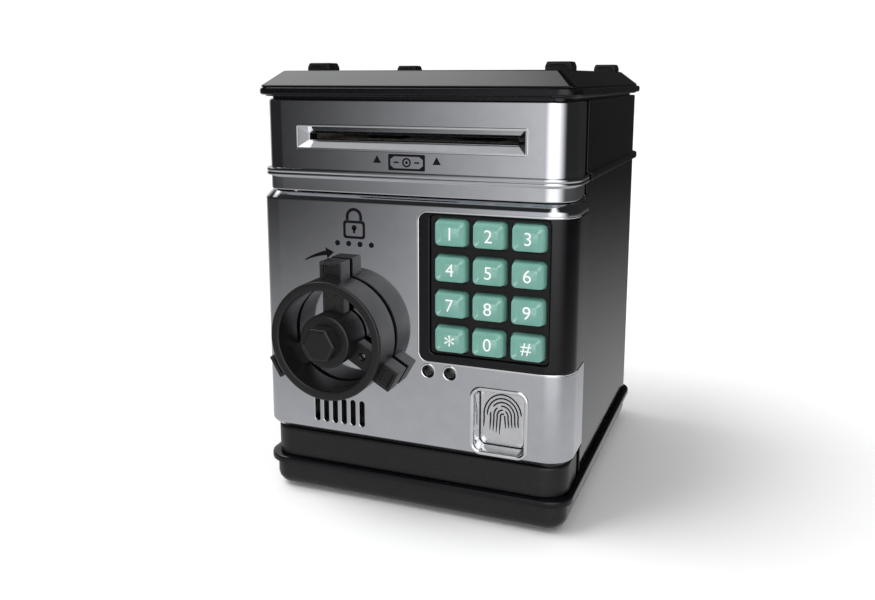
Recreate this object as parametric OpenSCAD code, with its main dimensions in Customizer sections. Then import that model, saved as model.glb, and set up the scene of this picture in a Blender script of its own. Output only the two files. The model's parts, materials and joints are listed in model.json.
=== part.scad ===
// Toy cash machine savings bank: a box with a hinged safe door, a combination
// keypad, a spoked door knob, a motor that draws in banknotes and a coin slot.
// X runs to the right as the front is seen, the front faces -Y and Z is up.
// The origin is on the floor, under the middle of the overall length and width.

/* [Case] */
// Width over the body panels
case_w = 135; // [128:1:150]
// Depth over the body panels
case_d = 150; // [140:1:170]
// Thickness of the moulded walls
wall = 2.4; // [2:0.1:3]
// How far the door, the rim and the ribs stand proud of the panels
trim = 2; // [1:0.5:2.5]
// How far the base flange stands proud of the panels
flange = 2.5; // [1.5:0.5:3.5]
// Radius of the upright corners of the body
corner_r = 8; // [5:0.5:10]
// Depth to which the front parts wrap round the corners
wrap_d = 25; // [24:0.5:26]
// Depth at which the side panels begin
side_d = 31; // [31:0.5:34]

/* [Levels above the floor] */
// Height of the feet
foot_h = 1.5; // [1:0.5:3]
// Underside of the base flange
flange_z0 = 12.8; // [12:0.2:13.4]
// Top of the base flange
flange_z1 = 16; // [15.6:0.2:16.4]
// Top of the front plinth
plinth_z1 = 28.9; // [28:0.1:29]
// Bottom edge of the door
door_z0 = 29.3; // [29.2:0.1:30]
// Top edge of the door
door_z1 = 136; // [135:0.5:136]
// Bottom edge of the head panel
head_z0 = 136.5; // [136.4:0.1:137]
// Underside of the middle rib
rib_z0 = 142.5; // [141:0.5:143]
// Top of the middle rib
rib_z1 = 145.7; // [145:0.1:147]
// Top edge of the head and side panels
panel_z1 = 174.8; // [174:0.2:175.4]
// Underside of the rim of the roof
rim_z0 = 176.5; // [176:0.5:177]
// Top of the rim
rim_z1 = 179.5; // [179:0.5:180]
// Foot of the bevel of the roof
bevel_z0 = 180.5; // [180.5:0.5:182]
// Flat top of the roof
roof_z1 = 186.5; // [185:0.5:187]
// Top of the roof blocks
block_z1 = 190; // [188:0.5:192]

/* [Door and knob] */
// Radius of the upright corners of the door
door_r = 11; // [8:0.5:12]
// Bevel along the top and bottom edges of the door
door_bevel = 2.8; // [1.5:0.1:3.5]
// Knob centre, from the middle of the case
knob_x = -29.5; // [-31:0.5:-28]
// Knob centre, above the floor
knob_z = 77; // [75:0.5:79]
// Outside radius of the knob's drum
knob_r = 25.2; // [23:0.1:26]
// Front of the knob's ring, from the door
knob_front = 16; // [14:0.5:18]
// Front of the six-sided cap, from the door
cap_front = 21.5; // [20:0.5:23]
// Depth of the hinge line behind the door's front
hinge_d = 28; // [27.8:0.1:28.2]
// Distance of the hinge line from the middle
hinge_x = 66.5; // [66.3:0.1:66.7]

/* [Keypad] */
// Middle of the three key columns
keys_x = 36.1; // [35.5:0.1:36.7]
// Middle of the four key rows
keys_z = 101.1; // [100.5:0.1:101.5]
// Distance between key columns
key_pitch_x = 15.9; // [15.6:0.1:16.2]
// Distance between key rows
key_pitch_z = 14.55; // [14.2:0.05:14.8]
// Width of a key at its root
key_w = 13.6; // [12.5:0.1:13.8]
// Height of a key at its root
key_h = 10.8; // [10:0.1:11.2]
// How far a key travels when it is pressed
key_travel = 1.2; // [0.8:0.1:1.2]

/* [Banknote feed] */
// Height of the banknote slot
slot_z = 159.3; // [158.5:0.1:160]
// Width of the banknote slot
slot_w = 91; // [80:1:92]
// Gap of the banknote slot
slot_gap = 2.8; // [2.4:0.1:3.4]
// Radius of the drive rollers
drive_r = 6; // [5.5:0.5:6]
// Radius of the pressure rollers
idler_r = 5; // [4.5:0.5:5]

/* [Coin slot] */
// Length of the coin slot
coin_w = 34; // [28:1:36]
// Gap of the coin slot
coin_gap = 4.6; // [4.4:0.1:5]
// Depth of the coin slot behind the door's front
coin_d = 112; // [100:1:118]

/* [Hidden] */
$fn = 64;
hull_fn = 32;          // facets on rounded shapes inside a hull

half_w = case_w / 2;
trim_w = half_w + trim;                      // half width over door, rim and ribs
length = cap_front + trim + case_d + flange; // knob tip to back of flange
front_y = cap_front - length / 2;            // plane of the door's front
panel_y = front_y + trim;                    // front of the head panel
back_y = panel_y + case_d;                   // back of the case

in_w = half_w - wall;                        // half width inside the panels
head_r = door_r - 0.5;                       // corners of the head panel
gap = 0.15;                                  // fit between parts that are fixed
post_x = 57.5;                               // screw posts, from the middle
post_front_d = 37;
post_back_d = 144;
post_r = 4;
pilot_r = 1.25;                              // hole that a screw cuts into
screw_hole_r = 1.5;                          // hole that a screw passes through
shank_r = 1.2;
lip_z0 = 171.5;                              // foot of the roof's locating lip

feed_d = 34;                                 // rollers, behind the door's front
feed_z = slot_z - drive_r;
idler_z = slot_z + idler_r + 0.2;
cheek_x = 50;                                // inner face of the bracket's cheeks
cheek_t = 2.5;
gear_teeth = 34;
pinion_teeth = 10;
gear_module = 0.8;                           // tooth size of both gears
gear_x = -57.5;                              // outer face of the gear
gear_t = 3;
motor_d = 18;
gear_centre = gear_module * (gear_teeth + pinion_teeth) / 2;
motor_z = feed_z - sqrt(pow(gear_centre, 2) - pow(feed_d - motor_d, 2));
mesh_angle = atan2(motor_z - feed_z, motor_d - feed_d);

field = [10.7, 72.2, 60.4, 130];             // keypad field: x0, z0, x1, z1
bezel = [5.7, 68.5, 131];                    // keypad bezel: x0, z0, z1
plate_d = 1;                                 // front of the keypad plate
plate_t = 1.2;
flange_d = plate_d + plate_t + 0.3;          // front of a key's flange
key_face_d = -2.6;                           // front of a key, ahead of the door
plunger_l = 2.3;                             // from a key's flange to its plunger's end
dome_d = flange_d + plunger_l + key_travel + 0.5;
ledge = 0.7;                                 // ledge that the keypad plate rests on
scanner = [28.3, 31.7, 52.8, 60.7];          // scanner surround: x0, z0, x1, z1
scanner_r = 4.5;
lens_at = [[9.9, 64.5], [19.5, 64.5]];
lens_r = 2.6;
grille_x = -31.45;                           // middle of the speaker's slots
grille_pitch = 4.3;
grille_n = 6;

liner_d = 22.4;                              // front of the door's rear cover
liner_t = 2.2;
liner_w = trim_w - wall - gap;
cam_d = 31.9;                                // front of the latch cam
cam_t = 2;
cam_reach = 31;
cam_rest = 110;                              // direction of the cam when released
lock_x = knob_x - 20;
lock_z = knob_z + 6.6;
lock_r = 2;
shaft_r = 3;
strike = [-61.6, 68, 86];                    // strike plate: x0, z0, z1
spoke_angles = [90, 210, 330];

block_x = 54.3;                              // roof blocks
block_d = [35, 134];

aa_r = 7.2;
aa_l = 49;
bay_x = 25;                                  // half width of the battery bay
bay_d0 = 62;
bay_d1 = 122;
floor_z0 = 24;
floor_z1 = 26.4;

// ---- helpers -------------------------------------------------------------

// Place measured backwards from the plane of the door's front
function y_at(d) = front_y + d;

// Rounded rectangle between two corners, with true arcs
module rounded(x0, y0, x1, y1, r) {
    translate([x0 + r, y0]) square([x1 - x0 - 2 * r, y1 - y0]);
    translate([x0, y0 + r]) square([x1 - x0, y1 - y0 - 2 * r]);
    for (x = [x0 + r, x1 - r], y = [y0 + r, y1 - r])
        translate([x, y]) circle(r);
}

// Plan of the whole case, grown by `out`
module plan(out, r) {
    rounded(-half_w - out, panel_y - out, half_w + out, back_y + out, r);
}

// Plan of a part that wraps the front corners, from depth d0 back to d1
module front_plan(w, d0, d1, r, fn = $fn) {
    $fn = fn;
    difference() {
        rounded(-w, y_at(d0), w, y_at(d1 + 2 * r + 1), r);
        translate([-w - 1, y_at(d1)]) square([2 * w + 2, 2 * r + 2]);
    }
}

// A plan shape raised from z0 to z1
module raise(z0, z1) {
    translate([0, 0, z0]) linear_extrude(z1 - z0) children();
}

// A front-view shape (x, z) that runs from depth d0 to d1
module run_back(d0, d1) {
    translate([0, y_at(d1), 0]) rotate([90, 0, 0])
        linear_extrude(d1 - d0) children();
}

// A side-view shape (y, z) that runs from x0 to x1
module run_across(x0, x1) {
    translate([x0, 0, 0]) rotate([90, 0, 90]) linear_extrude(x1 - x0) children();
}

// A box from (x0, d0, z0) to (x1, d1, z1), depths from the door's front
module block(x0, x1, d0, d1, z0, z1) {
    translate([x0, y_at(d0), z0]) cube([x1 - x0, d1 - d0, z1 - z0]);
}

// A rod along the depth
module rod_back(x, z, r, d0, d1) {
    translate([x, y_at(d1), z]) rotate([90, 0, 0]) cylinder(r = r, h = d1 - d0);
}

// A rod across the width
module rod_across(d, z, r, x0, x1) {
    translate([x0, y_at(d), z]) rotate([0, 90, 0]) cylinder(r = r, h = x1 - x0);
}

// An upright rod
module rod_up(x, d, r, z0, z1) {
    translate([x, y_at(d), z0]) cylinder(r = r, h = z1 - z0);
}

// A pan-head screw with its head at the origin, pointing down -Z
module screw(l, head_r = 2.4, head_t = 1.4) {
    difference() {
        cylinder(r = head_r, h = head_t);
        translate([-head_r, -0.3, head_t - 0.6]) cube([2 * head_r, 0.6, 1]);
    }
    translate([0, 0, -l]) cylinder(r = shank_r, h = l + 0.1);
}

// Outline of a spur gear with involute teeth of 20 degrees
function inv(a) = tan(a) * 180 / PI - a;
function half_tooth(r, teeth, base) =
    90 / teeth * 0.86 + inv(20) - inv(acos(min(1, base / r)));
function polar(r, a) = [r * cos(a), r * sin(a)];
module gear_outline(teeth) {
    pitch_r = gear_module * teeth / 2;
    base = pitch_r * cos(20);
    tip = pitch_r + 0.85 * gear_module;
    root = pitch_r - 1.25 * gear_module;
    start = max(base, root);
    steps = 5;
    flank = [for (i = [0:steps]) start + (tip - start) * i / steps];
    polygon([for (t = [0:teeth - 1]) let (a = 360 * t / teeth) each concat(
        [polar(root, a - half_tooth(start, teeth, base))],
        [for (r = flank) polar(r, a - half_tooth(r, teeth, base))],
        [for (i = [steps:-1:0]) polar(flank[i], a + half_tooth(flank[i], teeth, base))],
        [polar(root, a + half_tooth(start, teeth, base))]
    )]);
}

// ---- base ----------------------------------------------------------------

module skirt_plan(inset) {
    rounded(-half_w + inset, panel_y + inset, half_w - inset, back_y - inset, corner_r);
}

module base_tray() color("dimgray") {
    skirt_chamfer = 3.5;
    floor_t = 2.5;
    difference() {
        union() {
            hull() {
                raise(foot_h, foot_h + 0.1)
                    offset(delta = -skirt_chamfer, $fn = hull_fn) skirt_plan(0, $fn = hull_fn);
                raise(foot_h + skirt_chamfer, foot_h + skirt_chamfer + 0.1)
                    skirt_plan(0, $fn = hull_fn);
            }
            raise(foot_h + skirt_chamfer, flange_z0) skirt_plan(0);
            raise(flange_z0, flange_z1) plan(flange, corner_r + flange);
            raise(flange_z1 - 0.1, flange_z1 + 5) skirt_plan(wall + gap);
        }
        raise(foot_h + floor_t, flange_z1 + 6) skirt_plan(2 * wall + gap + 1);
        block(-bay_x - 0.2, bay_x + 0.2, bay_d0 - 0.2, bay_d1 + 0.2, 0, 20);
        for (x = [-post_x, post_x], d = [post_front_d, post_back_d]) {
            rod_up(x, d, 2.8, 0, foot_h + floor_t + 1);
            rod_up(x, d, screw_hole_r, 0, flange_z1 + 1);
            rod_up(x, d, post_r + 0.3, flange_z1, flange_z1 + 6);
        }
    }
    for (x = [-post_x, post_x], d = [post_front_d, post_back_d]) difference() {
        rod_up(x, d, post_r, foot_h + floor_t - 0.1, flange_z1);
        rod_up(x, d, 2.8, 0, foot_h + floor_t + 1);
        rod_up(x, d, screw_hole_r, 0, flange_z1 + 1);
    }
}

module feet() color("black")
    for (x = [-54, 54], d = [15, 139]) rod_up(x, d, 7, 0, foot_h);

// Three round cells lie side by side, their length from front to back
function cell_x(i) = (i - 1) * 15.6;
cell_z = 11.7;

module battery_box() color("black") {
    t = 1.6;
    top = 20.6;
    difference() {
        block(-bay_x, bay_x, bay_d0, bay_d1, 4.2, top);
        block(-bay_x + t, bay_x - t, bay_d0 + t, bay_d1 - t, 4, top - t);
    }
    for (i = [0, 1]) difference() {
        block(-0.5 + (i - 0.5) * 15.6, 0.5 + (i - 0.5) * 15.6,
              bay_d0 + 8, bay_d1 - 8, 13, top - t + 0.1);
        for (j = [0:2]) rod_back(cell_x(j), cell_z, aa_r + 0.2, bay_d0, bay_d1);
    }
}

module battery_cells() color("goldenrod")
    for (i = [0:2]) {
        mid = (bay_d0 + bay_d1) / 2;
        rod_back(cell_x(i), cell_z, aa_r, mid - aa_l / 2, mid + aa_l / 2);
        rod_back(cell_x(i), cell_z, 2.7,
                 i == 1 ? mid + aa_l / 2 - 0.1 : mid - aa_l / 2 - 1.2,
                 i == 1 ? mid + aa_l / 2 + 1.2 : mid - aa_l / 2 + 0.1);
    }

// Flat plates at one end of each cell and stepped coil springs at the other
module battery_contacts() color("silver")
    for (i = [0:2]) {
        near = i == 1;
        d0 = near ? bay_d0 + 1.7 : bay_d1 - 2.2;
        d1 = near ? bay_d1 - 2.2 : bay_d0 + 1.7;
        block(cell_x(i) - 5, cell_x(i) + 5, d0, d0 + 0.5, 6, 18);
        block(cell_x(i) - 5, cell_x(i) + 5, d1, d1 + 0.5, 6, 18);
        spring0 = near ? d0 + 0.4 : d0 - 2.6;
        for (s = [0:2]) {
            from = near ? spring0 + s * 0.9 : spring0 + 2.6 - (s + 1) * 0.9;
            difference() {
                rod_back(cell_x(i), cell_z, 5 - s * 0.8, from, from + 1);
                rod_back(cell_x(i), cell_z, 3.6 - s * 0.8, from - 1, from + 2);
            }
        }
    }

module battery_cover() color("black") difference() {
    union() {
        block(-bay_x, bay_x, bay_d0, bay_d1, foot_h, foot_h + 2);
        for (x = [-14, 14])
            block(x - 3, x + 3, bay_d0 + 2, bay_d0 + 3.4, foot_h + 1.9, foot_h + 4);
    }
    rod_up(0, bay_d1 - 4, 1.5, 0, 6);
    rod_up(0, bay_d1 - 4, 2.7, 0, foot_h + 1);
    for (i = [-3:3])
        block(-8, 8, bay_d0 + 12 + i * 2 - 0.4, bay_d0 + 12 + i * 2 + 0.4, 0, foot_h + 0.5);
}

module cover_screw() color("silver")
    translate([0, y_at(bay_d1 - 4), foot_h + 0.95]) rotate([180, 0, 0])
        translate([0, 0, -0.05]) screw(2, head_t = 0.9);

module inner_floor() color("darkslategray") difference() {
    raise(floor_z0, floor_z1)
        rounded(-in_w + 0.3, y_at(41), in_w - 0.3, back_y - wall - 0.3, 5);
    for (x = [-post_x, post_x]) rod_up(x, post_back_d, 4.7, 0, 60);
    block(-24, -16, 140, 152, 0, 60);
}

module front_plinth() color("dimgray") difference() {
    raise(flange_z1 + 0.1, plinth_z1) front_plan(half_w, trim, wrap_d, door_r);
    raise(flange_z1 - 1, plinth_z1 - wall)
        front_plan(half_w - wall, trim + wall, wrap_d + 1, door_r - wall);
}

// ---- case ----------------------------------------------------------------

module back_shell() color("black") {
    difference() {
        union() {
            raise(flange_z1 + 0.1, panel_z1) plan(0, corner_r);
            raise(rib_z0, rib_z1) plan(trim, corner_r + trim);
        }
        raise(0, 200) rounded(-in_w, panel_y - 20, in_w, back_y - wall, corner_r - wall);
        raise(0, 200) translate([-100, -100]) square([200, y_at(side_d) + 100]);
    }
    // Screw posts in the back corners
    for (x = [-post_x, post_x]) difference() {
        union() {
            rod_up(x, post_back_d, post_r, flange_z1 + 0.1, lip_z0);
            block(x > 0 ? x : -in_w - 1, x > 0 ? in_w + 1 : x,
                  post_back_d - 1.5, post_back_d + 1.5, floor_z1 + 1, lip_z0);
        }
        rod_up(x, post_back_d, pilot_r, flange_z1 - 1, flange_z1 + 14);
        rod_up(x, post_back_d, pilot_r, lip_z0 - 14, lip_z0 + 1);
    }
    // Standoffs for the main board
    for (x = [-40, 40], z = [145, 167]) difference() {
        rod_back(x, z, 2.6, 144.7, trim + case_d - wall + 0.5);
        rod_back(x, z, pilot_r, 144, 150);
    }
}

// Frame that the door closes on; it plugs into the side panels
module front_frame() color("black") {
    face_d = wrap_d + 0.4;
    frame_w = 62.5;
    mouth = [-56.5, 35, 56.5, 129.5];
    head_open = [-59.5, 137.6, 59.5, 169.8];
    plug_w = in_w - gap;
    difference() {
        union() {
            block(-frame_w, frame_w, face_d, side_d + 0.1, flange_z1 + 5.3, lip_z0 - 0.2);
            block(-plug_w, plug_w, side_d - 1, side_d + 0.1, flange_z1 + 5.3, lip_z0 - 0.2);
            for (x = [-plug_w, frame_w])
                block(x, x + plug_w - frame_w, side_d, side_d + 8,
                      flange_z1 + 5.3, lip_z0 - 0.2);
            for (x = [-post_x, post_x]) {
                rod_up(x, post_front_d, post_r, flange_z1 + 0.1, 34);
                block(x - 3.5, x + 3.5, side_d, post_front_d, 24, 32);
                block(x > 0 ? x : -plug_w, x > 0 ? plug_w : x,
                      post_front_d - 1.5, post_front_d + 1.5, 24, 32);
            }
            // Fixed knuckles of the door hinge
            for (z = [133.2, 29.4]) {
                rod_up(hinge_x, hinge_d, 2.2, z, z + 3.4);
                block(frame_w - 2, hinge_x, hinge_d - 1.4, hinge_d + 2.2, z, z + 3.4);
            }
        }
        run_back(0, 60) rounded(mouth[0], mouth[1], mouth[2], mouth[3], 3);
        // Room behind the face for the latch, and a pocket for its strike
        block(-frame_w, frame_w, side_d + 0.01, 60, mouth[1], mouth[3]);
        block(strike[0] - 0.1, mouth[0] + 1, side_d - 0.8, 60, strike[1] - 0.1, strike[2] + 0.1);
        run_back(0, side_d + 3)
            rounded(head_open[0], head_open[1], head_open[2], head_open[3], 3);
        for (x = [-post_x, post_x])
            rod_up(x, post_front_d, pilot_r, flange_z1 - 1, flange_z1 + 14);
        rod_up(hinge_x, hinge_d, 1.05, 20, 150);
    }
}

module strike_plate() color("silver") difference() {
    block(strike[0], strike[0] + 4.8, side_d - 0.75, side_d + 0.65, strike[1], strike[2]);
    for (z = [71, 83]) rod_back(strike[0] + 2.2, z, 0.9, 20, 40);
}

module hinge_pins() color("silver") {
    rod_up(hinge_x, hinge_d, 1, 129.3, 136.9);
    rod_up(hinge_x, hinge_d, 1, 29.1, 36.7);
}

module head_fascia() color("lightslategray") difference() {
    union() {
        difference() {
            union() {
                raise(head_z0, panel_z1) front_plan(half_w, trim, wrap_d, head_r);
                raise(rib_z0, rib_z1) front_plan(trim_w, 0, wrap_d, head_r + trim);
            }
            raise(0, 200)
                front_plan(half_w - wall, trim + wall, wrap_d + 1, head_r - wall);
        }
        for (x = [-56.5, 56.5]) rod_back(x, 167.5, 3, trim + wall - 0.1, 7);
        block(-in_w - 0.1, in_w + 0.1, trim + wall - 0.1, wrap_d - 4, head_z0, head_z0 + 1.8);
    }
    block(-slot_w / 2 - 3.2, slot_w / 2 + 3.2, 0, 10, slot_z - 4, slot_z + 4);
    for (x = [-56.5, 56.5]) rod_back(x, 167.5, pilot_r, 4.2, 8);
}

// Bevelled mouth that leads a banknote into the rollers
module bill_slot_bezel() color("silver") {
    rim_w = 50;
    rim_h = 5.3;
    throat = slot_w / 2 + 3;
    difference() {
        union() {
            run_back(trim - 0.8, trim) rounded(-rim_w, slot_z - rim_h, rim_w, slot_z + rim_h, 0.8);
            block(-throat, throat, trim - 0.1, 11.5, slot_z - 3.8, slot_z + 3.8);
        }
        hull() {
            block(-rim_w + 1.2, rim_w - 1.2, 1, 1.1, slot_z - rim_h + 1.2, slot_z + rim_h - 1.2);
            block(-slot_w / 2, slot_w / 2, 5, 5.1, slot_z - slot_gap / 2, slot_z + slot_gap / 2);
        }
        block(-slot_w / 2, slot_w / 2, 0, 20, slot_z - slot_gap / 2, slot_z + slot_gap / 2);
    }
}

roller_at = [-30, 14];     // left faces of the two tyres on each shaft
roller_w = 16;

module feed_bracket() color("whitesmoke") difference() {
    union() {
        for (x = [-cheek_x - cheek_t, cheek_x]) {
            block(x, x + cheek_t, 7, 52, 139, 169.4);
            block(x, x + cheek_t, 7, 9, 163, 171);
        }
        block(-cheek_x - 0.1, cheek_x + 0.1, 12, 52, slot_z - 3.6, slot_z - 1.6);
        block(-cheek_x - 0.1, cheek_x + 0.1, 12, 52, slot_z + 1.6, slot_z + 3.6);
        for (x = [-60.5, cheek_x])
            block(x, x + 10.5, 7, 9, 163, 171);
        block(-cheek_x - 0.1, -22, 12, 26, motor_z + 8.1, slot_z - 1.7);
    }
    for (x = roller_at) {
        block(x - 1, x + roller_w + 1, feed_d - 8, feed_d + 8, slot_z - 5, slot_z);
        block(x - 1, x + roller_w + 1, feed_d - 7, feed_d + 7, slot_z, slot_z + 5);
    }
    rod_across(feed_d, feed_z, 1.56, -60, 60);
    rod_across(feed_d, idler_z, 1.56, -60, 60);
    rod_across(motor_d, motor_z, 3.2, -60, 0);
    for (x = [-56.5, 56.5]) rod_back(x, 167.5, 1.5, 5, 12);
}

module feed_motor() color("silver") {
    difference() {
        union() {
            intersection() {
                rod_across(motor_d, motor_z, 10, -cheek_x + 0.1, -24);
                block(-cheek_x, -24, 0, 40, motor_z - 7.6, motor_z + 7.6);
            }
            rod_across(motor_d, motor_z, 3, -cheek_x - 1.6, -cheek_x + 1);
            rod_across(motor_d, motor_z, 3, -24.1, -22.4);
        }
        rod_across(motor_d, motor_z, 1.06, -60, -26);
    }
}

// Bevel of the roof, from one inset and height to another
module roof_bevel(in0, z0, in1, z1) hull() {
    raise(z0, z0 + 0.02)
        rounded(-half_w + in0, panel_y + in0, half_w - in0, back_y - in0, 1.5, $fn = hull_fn);
    raise(z1 - 0.02, z1)
        rounded(-half_w + in1, panel_y + in1, half_w - in1, back_y - in1, 1.5, $fn = hull_fn);
}

module top_cover() color("black") {
    bevel_in = 7.5;
    skin = 2.2;
    difference() {
        union() {
            raise(rim_z0, rim_z1) plan(trim, corner_r);
            raise(rim_z1 - 0.1, bevel_z0) plan(0, 1.5);
            roof_bevel(0, bevel_z0 - 0.02, bevel_in, roof_z1);
            raise(lip_z0, rim_z0 + 0.1) skirt_plan(wall + gap);
        }
        raise(lip_z0 - 1, bevel_z0 - skin) skirt_plan(wall + gap + 2);
        roof_bevel(wall + 2.4, bevel_z0 - skin - 0.05, bevel_in + 2, roof_z1 - skin);
        block(-coin_w / 2, coin_w / 2, coin_d - coin_gap / 2, coin_d + coin_gap / 2,
              150, roof_z1 + 1);
        for (x = [-block_x, block_x], d = block_d) rod_up(x, d, 1.8, 170, 200);
    }
    // Pegs that press into the case's back posts
    for (x = [-post_x, post_x]) {
        rod_up(x, post_back_d, post_r, lip_z0, bevel_z0 - 1);
        rod_up(x, post_back_d, pilot_r - 0.05, lip_z0 - 9, lip_z0 + 0.1);
    }
}

// Four bevelled blocks pegged to the roof
module roof_blocks() color("black")
    for (x = [-block_x, block_x], d = block_d) {
        block_w = 11;
        block_l = 10;
        block_bevel = 1.2;
        hull() {
            translate([x, y_at(d), roof_z1 + 0.02])
                linear_extrude(1.5) square([block_w, block_l], center = true);
            translate([x, y_at(d), block_z1 - 0.1])
                linear_extrude(0.1)
                    square([block_w - block_bevel, block_l - block_bevel], center = true);
        }
        rod_up(x, d, 1.7, roof_z1 - 3, roof_z1 + 0.5);
    }

module coin_chute() color("dimgray") difference() {
    union() {
        block(-coin_w / 2 - 2, coin_w / 2 + 2, coin_d - coin_gap / 2 - 2,
              coin_d + coin_gap / 2 + 2, 148, roof_z1 - 2.3);
        block(-coin_w / 2 - 6, coin_w / 2 + 6, coin_d - coin_gap / 2 - 4,
              coin_d + coin_gap / 2 + 4, roof_z1 - 4.2, roof_z1 - 2.3);
    }
    block(-coin_w / 2 - 0.3, coin_w / 2 + 0.3, coin_d - coin_gap / 2 - 0.3,
          coin_d + coin_gap / 2 + 0.3, 140, roof_z1);
}

module main_board() color("darkgreen") difference() {
    union() {
        block(-46, 46, 143, 144.6, 140.5, 171);
        block(-12, 6, 141, 143.1, 150, 164);
        block(-38, -26, 137.5, 143.1, 154, 162);
        block(22, 36, 139.6, 143.1, 151, 158);
        for (x = [12, 18]) rod_back(x, 166, 2.4, 137, 143.1);
    }
    for (x = [-40, 40], z = [145, 167]) rod_back(x, z, 1.5, 130, 150);
}

// Two-core lead from the battery box up the back wall to the main board
module battery_lead() color("firebrick") {
    r = 0.8;
    for (x = [-21, -19.2]) {
        rod_back(x, 22, r, 120, 147.6);
        translate([x, y_at(147.6), 22]) sphere(r);
        rod_up(x, 147.6, r, 22, 138.5);
        translate([x, y_at(147.6), 138.5]) sphere(r);
        rod_back(x, 138.5, r, 142, 147.6);
    }
    block(-23, -17, 140.8, 142.9, 137.6, 145);
}

module case_screws() color("silver") {
    for (x = [-post_x, post_x], d = [post_front_d, post_back_d])
        translate([x, y_at(d), foot_h + 3.4]) rotate([180, 0, 0])
            translate([0, 0, -0.05]) screw(16);
    for (x = [-56.5, 56.5])
        translate([x, y_at(9), 167.5]) rotate([-90, 0, 0]) screw(4.4);
    for (x = [-40, 40], z = [145, 167])
        translate([x, y_at(143), z]) rotate([90, 0, 0]) screw(5);
}

// ---- banknote drive ------------------------------------------------------

module drive_shaft() color("silver") rod_across(feed_d, feed_z, 1.5, -58.5, 54);

module drive_rollers() color("black")
    for (x = roller_at) difference() {
        rod_across(feed_d, feed_z, drive_r, x, x + roller_w);
        rod_across(feed_d, feed_z, 1.52, x - 1, x + roller_w + 1);
    }

module drive_gear() color("ivory") difference() {
    run_across(gear_x, gear_x + gear_t) translate([y_at(feed_d), feed_z])
        rotate(mesh_angle) difference() {
            gear_outline(gear_teeth);
            for (a = [0:60:300]) rotate(a + 30) translate([7.5, 0]) circle(2);
        }
    rod_across(feed_d, feed_z, 1.52, -60, 0);
}

// Brass pinion on the rotor's shaft
module motor_pinion() color("gold") {
    run_across(gear_x, gear_x + gear_t) translate([y_at(motor_d), motor_z])
        rotate(mesh_angle + 180 + 180 / pinion_teeth) gear_outline(pinion_teeth);
    rod_across(motor_d, motor_z, 1, gear_x + gear_t - 0.1, -27);
}

module idler_shaft() color("silver") rod_across(feed_d, idler_z, 1.5, -53.5, 53.5);

module idler_rollers() color("black")
    for (x = roller_at) difference() {
        rod_across(feed_d, idler_z, idler_r, x, x + roller_w);
        rod_across(feed_d, idler_z, 1.52, x - 1, x + roller_w + 1);
    }

// ---- door ----------------------------------------------------------------

// Outside of the door with bevelled top and bottom edges
module door_block() {
    raise(door_z0 + door_bevel, door_z1 - door_bevel) front_plan(trim_w, 0, wrap_d, door_r);
    for (end = [[door_z0, door_z0 + door_bevel], [door_z1 - 0.02, door_z1 - door_bevel - 0.02]])
        hull() {
            raise(end[0], end[0] + 0.02)
                front_plan(trim_w - door_bevel, door_bevel, wrap_d, door_r - door_bevel, hull_fn);
            raise(end[1], end[1] + 0.02) front_plan(trim_w, 0, wrap_d, door_r, hull_fn);
        }
}

// Door shell with a plain hollow, open at the back
module door_hollow() {
    raise(door_z0 + wall, door_z1 - wall)
        front_plan(trim_w - wall, wall, wrap_d + 1, door_r - wall);
}

// Front-view outline of the keypad bezel, grown by `out`; it runs past the side
module bezel_outline(out) {
    rounded(bezel[0] - out, bezel[1] - out, 90, bezel[2] + out, 4);
}

module door_shell() color("lightslategray") difference() {
    door_block();
    door_hollow();
    run_back(-1, 30) bezel_outline(0.1);
    run_back(-1, 5) rounded(scanner[0] + 1, scanner[1] + 1, scanner[2] - 1, scanner[3] - 1,
                            scanner_r - 1);
    for (i = [0:grille_n - 1]) {
        x = grille_x + (i - (grille_n - 1) / 2) * grille_pitch;
        run_back(-1, 5) rounded(x - 1.15, 35.8, x + 1.15, 47, 1.14);
    }
    for (p = lens_at) rod_back(p[0], p[1], lens_r, -1, 5);
    rod_back(knob_x, knob_z, 5.1, -1, 5);
}

module keypad_bezel() color("black") difference() {
    union() {
        intersection() {
            raise(60, 133) front_plan(trim_w, 0, wrap_d, door_r);
            run_back(-1, 30) bezel_outline(0);
        }
        // Rear lip that the door shell clamps
        run_back(wall + 0.1, wall + 1.4) rounded(bezel[0] - 2, 67.8, trim_w - wall - 5, 132.4, 3);
    }
    difference() {
        raise(60, 133) front_plan(trim_w - wall, wall + 1.4, wrap_d + 1, door_r - wall - 1);
        block(0, 61, 0, 30, 132.5, 140);
    }
    run_back(-1, plate_d + plate_t) rounded(field[0], field[1], field[2], field[3], 2);
    run_back(-1, 12)
        rounded(field[0] + ledge, field[1] + ledge, field[2] - ledge, field[3] - ledge, 2);
}

function key_x(col) = keys_x + (col - 1) * key_pitch_x;
function key_z(row) = keys_z + (1.5 - row) * key_pitch_z;

module keypad_plate() color("darkslategray") difference() {
    run_back(plate_d, plate_d + plate_t)
        rounded(field[0] + gap, field[1] + gap, field[2] - gap, field[3] - gap, 1.9);
    for (col = [0:2], row = [0:3])
        run_back(-1, 5) rounded(key_x(col) - key_w / 2 - 0.4, key_z(row) - key_h / 2 - 0.4,
                                key_x(col) + key_w / 2 + 0.4, key_z(row) + key_h / 2 + 0.4, 2.2);
}

// One layer of a key, grown by `grow`, from depth d0 to d1
module key_step(grow, d0, d1) {
    run_back(d0, d1) rounded(-key_w / 2 - grow, -key_h / 2 - grow,
                             key_w / 2 + grow, key_h / 2 + grow, 1.8, $fn = hull_fn);
}

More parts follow.
